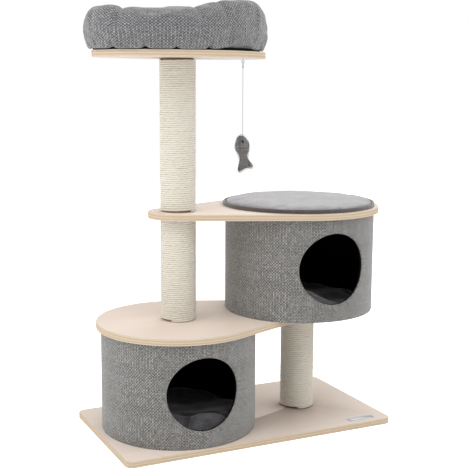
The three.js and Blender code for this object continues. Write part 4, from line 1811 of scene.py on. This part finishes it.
    def build_seam(self) -> None:
        """Cover the join at the back with a stitched tape."""
        half_width, thick = 9 * MM, 0.8 * MM
        height = np.linspace(self.low.z + 0.5 * MM, self.high.z - 0.5 * MM, 60)
        across = np.array([-1.0, -0.97, -0.86, -0.5, 0.0, 0.5, 0.86, 0.97, 1.0])
        rise = np.array([0.1, 0.7, 1.0, 0.92, 1.0, 0.92, 1.0, 0.7, 0.1]) * thick
        bearing = math.pi + across * half_width / self.radius
        base = self.radius - 0.2 * MM
        face = np.stack([self.round(bearing, z, base + rise) for z in height])
        under = np.stack([self.round(bearing, z, base - 0.3 * MM) for z in height])
        cloth = np.stack(np.meshgrid(height, across * half_width, indexing="ij"), axis=-1)
        tape = sewn_case(f"{self.name}_den_seam_tape", face, under, cloth[..., ::-1])
        dress(tape, MELANGE)
        mount(tape, "root", "melange_fabric")
        apart = 4.4 * MM
        count = int((self.high.z - self.low.z) / apart) - 1
        z = self.low.z + (np.arange(count) + 1.0) * apart
        lines = []
        for offset in (-5.4 * MM, 5.4 * MM):
            angle = np.full(count, math.pi + offset / self.radius)
            places = self.round(angle, z, base + thick * 0.98)
            outward = unit_rows(self.round(angle, z, base + 1.0) - places)
            lines.append(stitches("seam", places, np.tile([0.0, 0.0, 1.0], (count, 1)), outward,
                                  3.3 * MM, 0.32 * MM))
        thread = join(f"{self.name}_den_seam_stitches", lines)
        dress(thread, STITCH)
        mount(thread, "root", "melange_fabric")

    def build_cushion(self) -> None:
        """Fill and crumple the cushion inside the den."""
        node = f"{self.name}_den_cushion"
        low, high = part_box(node)
        centre, reach = (low + high) / 2, (high.x - low.x) / 2
        count = 61
        u, v = round_grid(count)
        radial = np.hypot(u, v)
        rng = np.random.default_rng(self.seed + 5)
        wobble = ripple(np.arctan2(v, u) / TURN,
                        [(3.2 * MM, 3, 0.4), (2.2 * MM, 5, 2.0), (1.6 * MM, 9, 1.1)])
        x, y = u * (reach + wobble), v * (reach + wobble)
        dome = np.sqrt(np.maximum(0, 1 - radial**2.6)) ** 0.75
        tall = high.z - low.z
        top = tall * (0.30 + self.crown * dome)
        top += dome * (ripple(x, random_waves(rng, 4, 1.8 * MM, 5, 16))
                       + ripple(y, random_waves(rng, 4, 1.8 * MM, 5, 16)))
        for fold_x, fold_y, bearing, length, width, rise in self.folds:
            angle = math.radians(bearing)
            along = (x - fold_x) * math.cos(angle) + (y - fold_y) * math.sin(angle)
            off = -(x - fold_x) * math.sin(angle) + (y - fold_y) * math.cos(angle)
            top += rise * np.exp(-(off / width) ** 2) * np.exp(-np.abs(along / length) ** 2.5)
        top -= self.tilt * (x / reach) * dome
        rim = 0.36 * tall
        top = rim + (top - rim) * np.clip(dome * 2.2, 0, 1)
        bottom = rim * (1 - np.clip(dome * 2.4, 0, 1))
        cushion = sewn_case(f"{self.name}_den_plush_cushion",
                            xyz(centre.x + x, centre.y + y, low.z + np.maximum(top, 4 * MM)),
                            xyz(centre.x + x, centre.y + y, low.z + bottom),
                            np.stack([x, y], axis=-1))
        Filling(pressure=3.0, growth=0.07, cap=9 * MM, bending=0.2).swell(cushion)
        points = vertices_of(cushion)
        flat = points[:, :2] - (centre.x, centre.y)
        far = np.maximum(np.linalg.norm(flat, axis=1, keepdims=True), TINY)
        points[:, :2] = (centre.x, centre.y) + flat / far * np.minimum(far, self.room)
        move_vertices(cushion, points)
        set_down(cushion, low.z)
        dress(cushion, DEN_PLUSH_DARKENED_FOR_SHADE)
        mount(cushion, f"{self.name}_cushion", "den_plush", node)


# ---------------------------------------------------------------- bed


@dataclass
class Bed:
    """The oval bed: a stuffed bolster on a stiff black base, with a loose cushion.

    Attributes:
        gathers: Bearings of the puckers along the lower front, and all round, in degrees.
        creases: Bearing, depth and half width, in degrees, of the folds over the crest.
        lifted: First and last bearing where the bolster rides up off the board.
        half_width: Half the bolster's width.
        hang: How far the bolster reaches below the base, where it hangs past its edge.
        overlap: How far in from the bolster's outside the base's edge lies.
    """

    gathers: tuple[float, ...] = (14, 33, 57, 84, 108, 131, 158, 181, 207, 232, 253, 275, 330, 350)
    creases: tuple[tuple[float, float, float], ...] = (
        (26, 7, 7), (71, 9, 6), (118, 8, 8), (163, 7, 6), (189, 4, 5), (213, 9, 6), (268, 6.5, 4),
        (287, 3.5, 3), (316, 3, 4), (343, 6, 7))
    lifted: tuple[float, float] = (284.0, 318.0)
    half_width: float = 42 * MM
    hang: float = 5.7 * MM
    overlap: float = 18.5 * MM

    def build(self) -> None:
        """Make the base, the bolster and the cushion."""
        low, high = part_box("bed_bolster")
        self.centre = (low + high) / 2
        self.half = np.array([high.x - low.x, high.y - low.y]) / 2
        self.low, self.tall = low.z, high.z - low.z
        self.build_base()
        self.build_bolster()
        self.build_cushion()

    def build_base(self) -> None:
        """Make the stiff base in its black cloth."""
        low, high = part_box("bed_base_panel")
        base = slab("bed_base", oval(low, high, 200), low.z, high.z, 2.2 * MM)
        dress(base, UNDERSIDE, UNDERSIDE)
        mount(base, "bed", "black_felt", "bed_base_panel")

    def build_bolster(self) -> None:
        """Shape, gather and fill the ring."""
        around, across = 248, 56
        line = self.half - self.half_width
        turn = self.even_turns(around, line)
        outward, rise, girth = self.section(across)
        normal = unit_rows(circle(turn) / line)
        spine = circle(turn) * line
        bearing = np.degrees(turn)[:, None]
        foot = np.clip(1 - rise / (26 * MM), 0, 1)
        below = foot * np.clip(outward / (22 * MM), 0, 1)
        inner = foot * np.clip(-outward / (22 * MM), 0, 1)
        over = np.clip((rise - 34 * MM) / (52 * MM), 0, 1)
        beyond = (np.clip((outward - 18 * MM) / (8 * MM), 0, 1)
                  * np.clip(1 - rise / (40 * MM), 0, 1))
        side = np.clip(outward / (20 * MM), -1, 1)
        outward = outward * (1 + 0.05 * np.cos(np.radians(bearing - 250) * 2))
        rise = np.where(rise > 0, rise * self.crest(bearing), rise)
        for place, depth, half in self.creases:
            gap = (bearing - place + 180) % 360 - 180
            fold = np.exp(-(gap / half) ** 2) * 0.6 + np.exp(-(gap / (half * 0.4)) ** 2) * 0.4
            rise = rise - depth * MM * fold * over
            outward = outward - side * depth * MM * 0.3 * fold * over
        for index, place in enumerate(self.gathers):
            gap = (bearing - place + 180) % 360 - 180
            narrow = np.exp(-(gap / 1.3) ** 2) * 0.75 + np.exp(-(gap / 4.0) ** 2) * 0.25
            deep = (7.5, 5.5, 6.5)[index % 3] * MM
            outward = outward - deep * narrow * (below - inner)
            rise = rise + 0.7 * deep * narrow * (below * beyond + inner)
        first, last = self.lifted
        middle, reach = (first + last) / 2, (last - first) / 2
        rise = rise + 9.5 * MM * np.exp(-np.abs((bearing - middle) / reach) ** 3) * beyond
        points = xyz(self.centre.x + spine[:, :1] + normal[:, :1] * outward,
                     self.centre.y + spine[:, 1:] + normal[:, 1:] * outward, self.low + rise)
        far = run_length(spine)
        uv = np.stack(np.meshgrid(far, np.arange(across) / across * girth, indexing="ij"), axis=-1)
        total = float(far[-1] + np.linalg.norm(spine[0] - spine[-1]))
        bolster = mesh_object("bed_bolster_ring", points.reshape(-1, 3),
                              [grid_faces(around, across, wrap_rows=True, wrap_columns=True)],
                              uv.reshape(-1, 2), (total, girth))
        tied = np.flatnonzero(((rise < 1.0 * MM) & (np.abs(outward) < 30 * MM)).ravel())
        Filling(pressure=3.0, growth=0.035, cap=6 * MM, bending=0.5).swell(bolster, tied)
        points = vertices_of(bolster)
        flat = (points[:, :2] - (self.centre.x, self.centre.y)) / (self.half - self.overlap)
        beyond = np.clip((np.linalg.norm(flat, axis=1) - 1.0) / 0.02, 0, 1)
        points[:, 2] = np.maximum(points[:, 2], self.low - self.hang * beyond)
        move_vertices(bolster, points)
        weld(bolster, 0)
        subdivided(bolster)
        dress(bolster, BOLSTER_MELANGE)
        mount(bolster, "bed", "melange_fabric", "bed_bolster")

    def even_turns(self, count: int, line: Array) -> Array:
        """Angles that step evenly along the ring's centre line.

        Args:
            count: How many steps there are.
            line: Half the length and half the width of the centre line.

        Returns:
            The angles, from 0.
        """
        fine = np.linspace(0, TURN, 4001)
        step = np.hypot(np.diff(np.cos(fine)) * line[0], np.diff(np.sin(fine)) * line[1])
        gone = np.concatenate(([0], np.cumsum(step)))
        return np.interp(np.linspace(0, gone[-1], count, endpoint=False), gone, fine)

    def crest(self, bearing: Array) -> Array:
        """Height of the ring at each bearing, in degrees, as a share of its height."""
        marks = [0, 20, 50, 90, 130, 165, 190, 205, 220, 240, 262, 274, 288, 300, 312, 322, 332,
                 345, 360]
        share = [0.95, 0.93, 0.95, 0.92, 0.94, 0.95, 0.98, 0.95, 0.90, 0.90, 0.91, 0.94, 1.02, 1.08,
                 1.13, 1.14, 1.09, 1.00, 0.95]
        fine = np.arange(361.0)
        return np.interp(bearing % 360, fine, softened(np.interp(fine, marks, share), 13, "wrap"))

    def section(self, count: int) -> tuple[Array, Array, float]:
        """The ring's section, which drops past the edge of the base and rests on the board.

        Args:
            count: How many even steps to take round it.

        Returns:
            Distance outward and height of each point, and the whole way round.
        """
        marks = np.array([(-30, 1.5), (-15, 0), (0, 0), (13, 0), (20, -1.5), (24.5, -5.4),
                          (30, -5.4), (34.5, -1), (38.5, 12), (42, 30), (43.5, 52), (41.5, 72),
                          (34, 89), (21, 100), (5, 104), (-11, 102), (-26, 93), (-37, 76),
                          (-42, 54), (-42, 30), (-38, 11)]) * MM
        loops = np.concatenate([marks, marks, marks])
        fine = np.linspace(len(marks), 2 * len(marks), 2001)
        whole = np.floor(fine).astype(int)
        part = (fine - whole)[:, None]
        a, b, c, d = (loops[whole + shift] for shift in (-1, 0, 1, 2))
        curve = 0.5 * (2 * b + (c - a) * part + (2 * a - 5 * b + 4 * c - d) * part**2
                       + (3 * b - a - 3 * c + d) * part**3)
        gone = run_length(curve)
        even = np.linspace(0, gone[-1], count, endpoint=False)
        outward, rise = (np.interp(even, gone, curve[:, axis])[None, :] for axis in (0, 1))
        return outward, rise, float(gone[-1])

    def build_cushion(self) -> None:
        """Fill the loose cushion inside the ring."""
        low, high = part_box("bed_cushion")
        centre = (low + high) / 2
        u, v = round_grid(49)
        dome = np.sqrt(np.maximum(0, 1 - np.hypot(u, v) ** 2.4)) ** 0.8
        x, y = u * ((high.x - low.x) / 2), v * ((high.y - low.y) / 2)
        rng = np.random.default_rng(31)
        tall = high.z - low.z
        crumple = (ripple(x, random_waves(rng, 5, 1.4 * MM, 6, 18))
                   * ripple(y, [(0.7, 7.0, 0.5), (0.5, 12.0, 1.0)])
                   + ripple(y, random_waves(rng, 3, 0.8 * MM, 8, 15)))
        top = 0.34 * tall + dome * (0.62 * tall + crumple)
        bottom = 0.34 * tall * (1 - np.clip(dome * 2.2, 0, 1))
        cushion = sewn_case("bed_plush_cushion",
                            xyz(centre.x + x, centre.y + y, low.z + top),
                            xyz(centre.x + x, centre.y + y, low.z + bottom),
                            np.stack([x, y], axis=-1))
        Filling(pressure=3.0, growth=0.05, cap=5 * MM, bending=0.2).swell(cushion)
        set_down(cushion, low.z)
        dress(cushion, BED_PLUSH)
        mount(cushion, "bed", "light_plush", "bed_cushion")


# ---------------------------------------------------------------- pad


@dataclass
class Pad:
    """The round plush pad, bound with a doubled twill edge.

    Attributes:
        waver: How far the binding wanders.
    """

    waver: float = 0.7 * MM

    def build(self) -> None:
        """Make the pad and its binding."""
        self.build_pad()
        self.build_binding()

    def build_pad(self) -> None:
        """Fill the thin pad: flat under, softly crowned and brushed on top."""
        low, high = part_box("pad_cushion")
        centre, reach = (low + high) / 2, (high.x - low.x) / 2
        u, v = round_grid(65)
        radial = np.hypot(u, v)
        x, y = u * reach, v * reach
        tall = high.z - low.z
        dome = np.sqrt(np.maximum(0, 1 - radial**10))
        rng = np.random.default_rng(23)
        soft = (ripple(x, random_waves(rng, 5, 0.5 * MM, 3, 11))
                + ripple(y, random_waves(rng, 5, 0.5 * MM, 3, 11)))
        top = 0.42 * tall + dome * (0.62 * tall + 0.32 * tall * (1 - radial**2) + soft)
        bottom = 0.42 * tall * (1 - np.clip(dome * 2.5, 0, 1))
        pad = sewn_case("pad_plush",
                        xyz(centre.x + x, centre.y + y, low.z + top),
                        xyz(centre.x + x, centre.y + y, low.z + bottom),
                        np.stack([x, y], axis=-1))
        Filling(pressure=1.6, growth=0.012, cap=1.6 * MM, bending=0.5).swell(pad)
        set_down(pad, low.z)
        dress(pad, PAD_PLUSH)
        mount(pad, "pad", "light_plush", "pad_cushion")

    def build_binding(self) -> None:
        """Bind the pad's rim: a tape with a roll along its top and its foot."""
        low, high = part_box("pad_piping")
        centre, outer = (low + high) / 2, (high.x - low.x) / 2
        turn, roll = round_steps(420), round_steps(22)
        half, thick = (high.z - low.z) / 2 + 0.9 * MM, 3.7 * MM
        lobes = 1 - 0.17 * np.exp(-(np.sin(roll) / 0.26) ** 2) * (np.cos(roll) > 0)
        across = thick * np.cos(roll) * lobes
        up = half * np.sin(roll)
        rng = np.random.default_rng(29)
        share = turn / TURN
        wander = ripple(share, [(self.waver * 0.5, 4, 0.2), (self.waver * 0.35, 9, 1.7),
                                (self.waver * 0.25, 17, 0.9)])
        press = 1 + ripple(share, [(0.04, 23, rng.uniform(0, 6)), (0.03, 41, rng.uniform(0, 6))])
        reach = outer - 4.3 * MM + wander[:, None] + across[None, :] * press[:, None]
        points = xyz(centre.x + reach * np.sin(turn)[:, None],
                     centre.y - reach * np.cos(turn)[:, None], low.z + half + up[None, :])
        girth = 2 * (2 * half + 2 * thick) * 0.8
        uv = np.stack(np.meshgrid(turn * outer, roll / TURN * girth, indexing="ij"), axis=-1)
        binding = mesh_object("pad_binding", points.reshape(-1, 3),
                              [grid_faces(len(turn), len(roll), wrap_rows=True,
                                          wrap_columns=True)],
                              uv.reshape(-1, 2), (TURN * outer, girth))
        weld(binding, 0.001 * MM)
        dress(binding, PIPING)
        mount(binding, "pad", "piping", "pad_piping")


# ---------------------------------------------------------------- plate and fixings


@dataclass
class NamePlate:
    """A blank metal plate on the base, with a raised rim and two rivets.

    Attributes:
        rim: Width of the raised rim.
        corner: Radius of the plate's corners.
        rivet: How far each rivet stands in from the plate's end.
    """

    rim: float = 0.55 * MM
    corner: float = 2.0 * MM
    rivet: float = 5 * MM

    def build(self) -> None:
        """Press the plate and set its rivets."""
        low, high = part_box("label_plate")
        middle, half, top = (low + high) / 2, (high - low) / 2, high.z
        whole, drawn_in = (rounded_rectangle(middle, half.x, half.y, self.corner, pull, 10.0)
                           for pull in (0.0, 0.4 * MM))
        body = slab("body", whole, low.z, top - 0.25 * MM, 0.25 * MM)
        points, normals = drawn_in
        slope, seat = 0.15 * MM, top - 0.3 * MM
        rows = np.concatenate([at_height(points - normals * pull, height) for pull, height in (
            (0.0, seat), (slope, top), (self.rim, top), (self.rim + slope, seat))])
        rim = mesh_object("rim", rows,
                          [grid_faces(4, len(points), wrap_rows=True, wrap_columns=True)],
                          rows[:, :2])
        profile = [(radius * MM, top + height * MM) for radius, height in (
            (0, -0.4), (1.5, -0.4), (1.5, -0.2), (1.1, 0.15), (0, 0.3))]
        rivets = [turned("rivet", profile, (middle.x + side * (half.x - self.rivet), middle.y), 24)
                  for side in (-1, 1)]
        plate = join("blank_plate", [body, rim, *rivets])
        dress(plate, PLATE)
        mount(plate, "root", "plate", "label_plate")


@dataclass
class Fixings:
    """The CAD parts that keep their own shape, such as walls, tubes, plugs and bolts.

    Attributes:
        finishes: Each finish by the end of a node's name, or by its middle if it ends in `_`.
    """

    finishes: dict[str, Finish] = field(default_factory=lambda: {
        "_wall": BENT_PLY, "_floor": LINING, "_roof": LINING, "_core": CARD, "_plug": BENT_PLY,
        "_insert": STEEL, "_bolt": STEEL, "_stud": STEEL, "screw_eye": STEEL, "_screw_": STEEL,
    })

    def build(self) -> None:
        """Give every CAD node that still shows its finish."""
        for name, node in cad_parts.items():
            if node.hide_render:
                continue
            finish = next(
                (kept for ending, kept in self.finishes.items()
                 if name.endswith(ending) or (ending.endswith("_") and ending in name)), None)
            if finish is None:
                raise ValueError(f"no finish is chosen for {name}")
            dress(node, finish)
            log.info("%s: %s", name, finish.name)


# ---------------------------------------------------------------- the whole tree


def main() -> None:
    """Build the studio and every part of the cat tree."""
    logging.basicConfig(level=logging.INFO, format="%(name)s: %(message)s")
    parts = (
        Studio(),
        Toy(),
        Board("base_board", Cut.RECTANGLE, bolt_x=193 * MM, bolt_side=-1, sunk=6 * MM),
        Board("lower_platform", Cut.TEARDROP, broad_x=-157 * MM, tip_x=193 * MM),
        Board("upper_platform", Cut.TEARDROP, broad_x=193 * MM, tip_x=-157 * MM),
        Board("top_board", Cut.OVAL, bolt_x=-157 * MM, sunk=5.3 * MM),
        Den("lower", -3.5, 3, folds=(
            (0.023, -0.142, -26, 0.05, 0.022, 0.017), (0.036, -0.104, -26, 0.055, 0.012, -0.030),
            (-0.036, -0.132, 55, 0.03, 0.010, -0.020), (-0.085, -0.05, 60, 0.10, 0.05, 0.006),
            (0.06, 0.02, 20, 0.13, 0.08, -0.020))),
        Den("upper", -1.5, 7, tilt=0.020, folds=(
            (-0.055, -0.125, -25, 0.05, 0.034, 0.028), (0.065, -0.10, -30, 0.10, 0.06, -0.032),
            (0.02, 0.03, 15, 0.14, 0.07, -0.018))),
        RopePost("short", -26.0, 101),
        RopePost("middle", -47.0, 102),
        RopePost("top", 24.0, 103),
        Bed(),
        Pad(),
        NamePlate(),
        Fixings(),
    )
    for part in parts:
        part.build()
        log.info("%s is built", type(part).__name__)


if __name__ == "__main__":
    main()
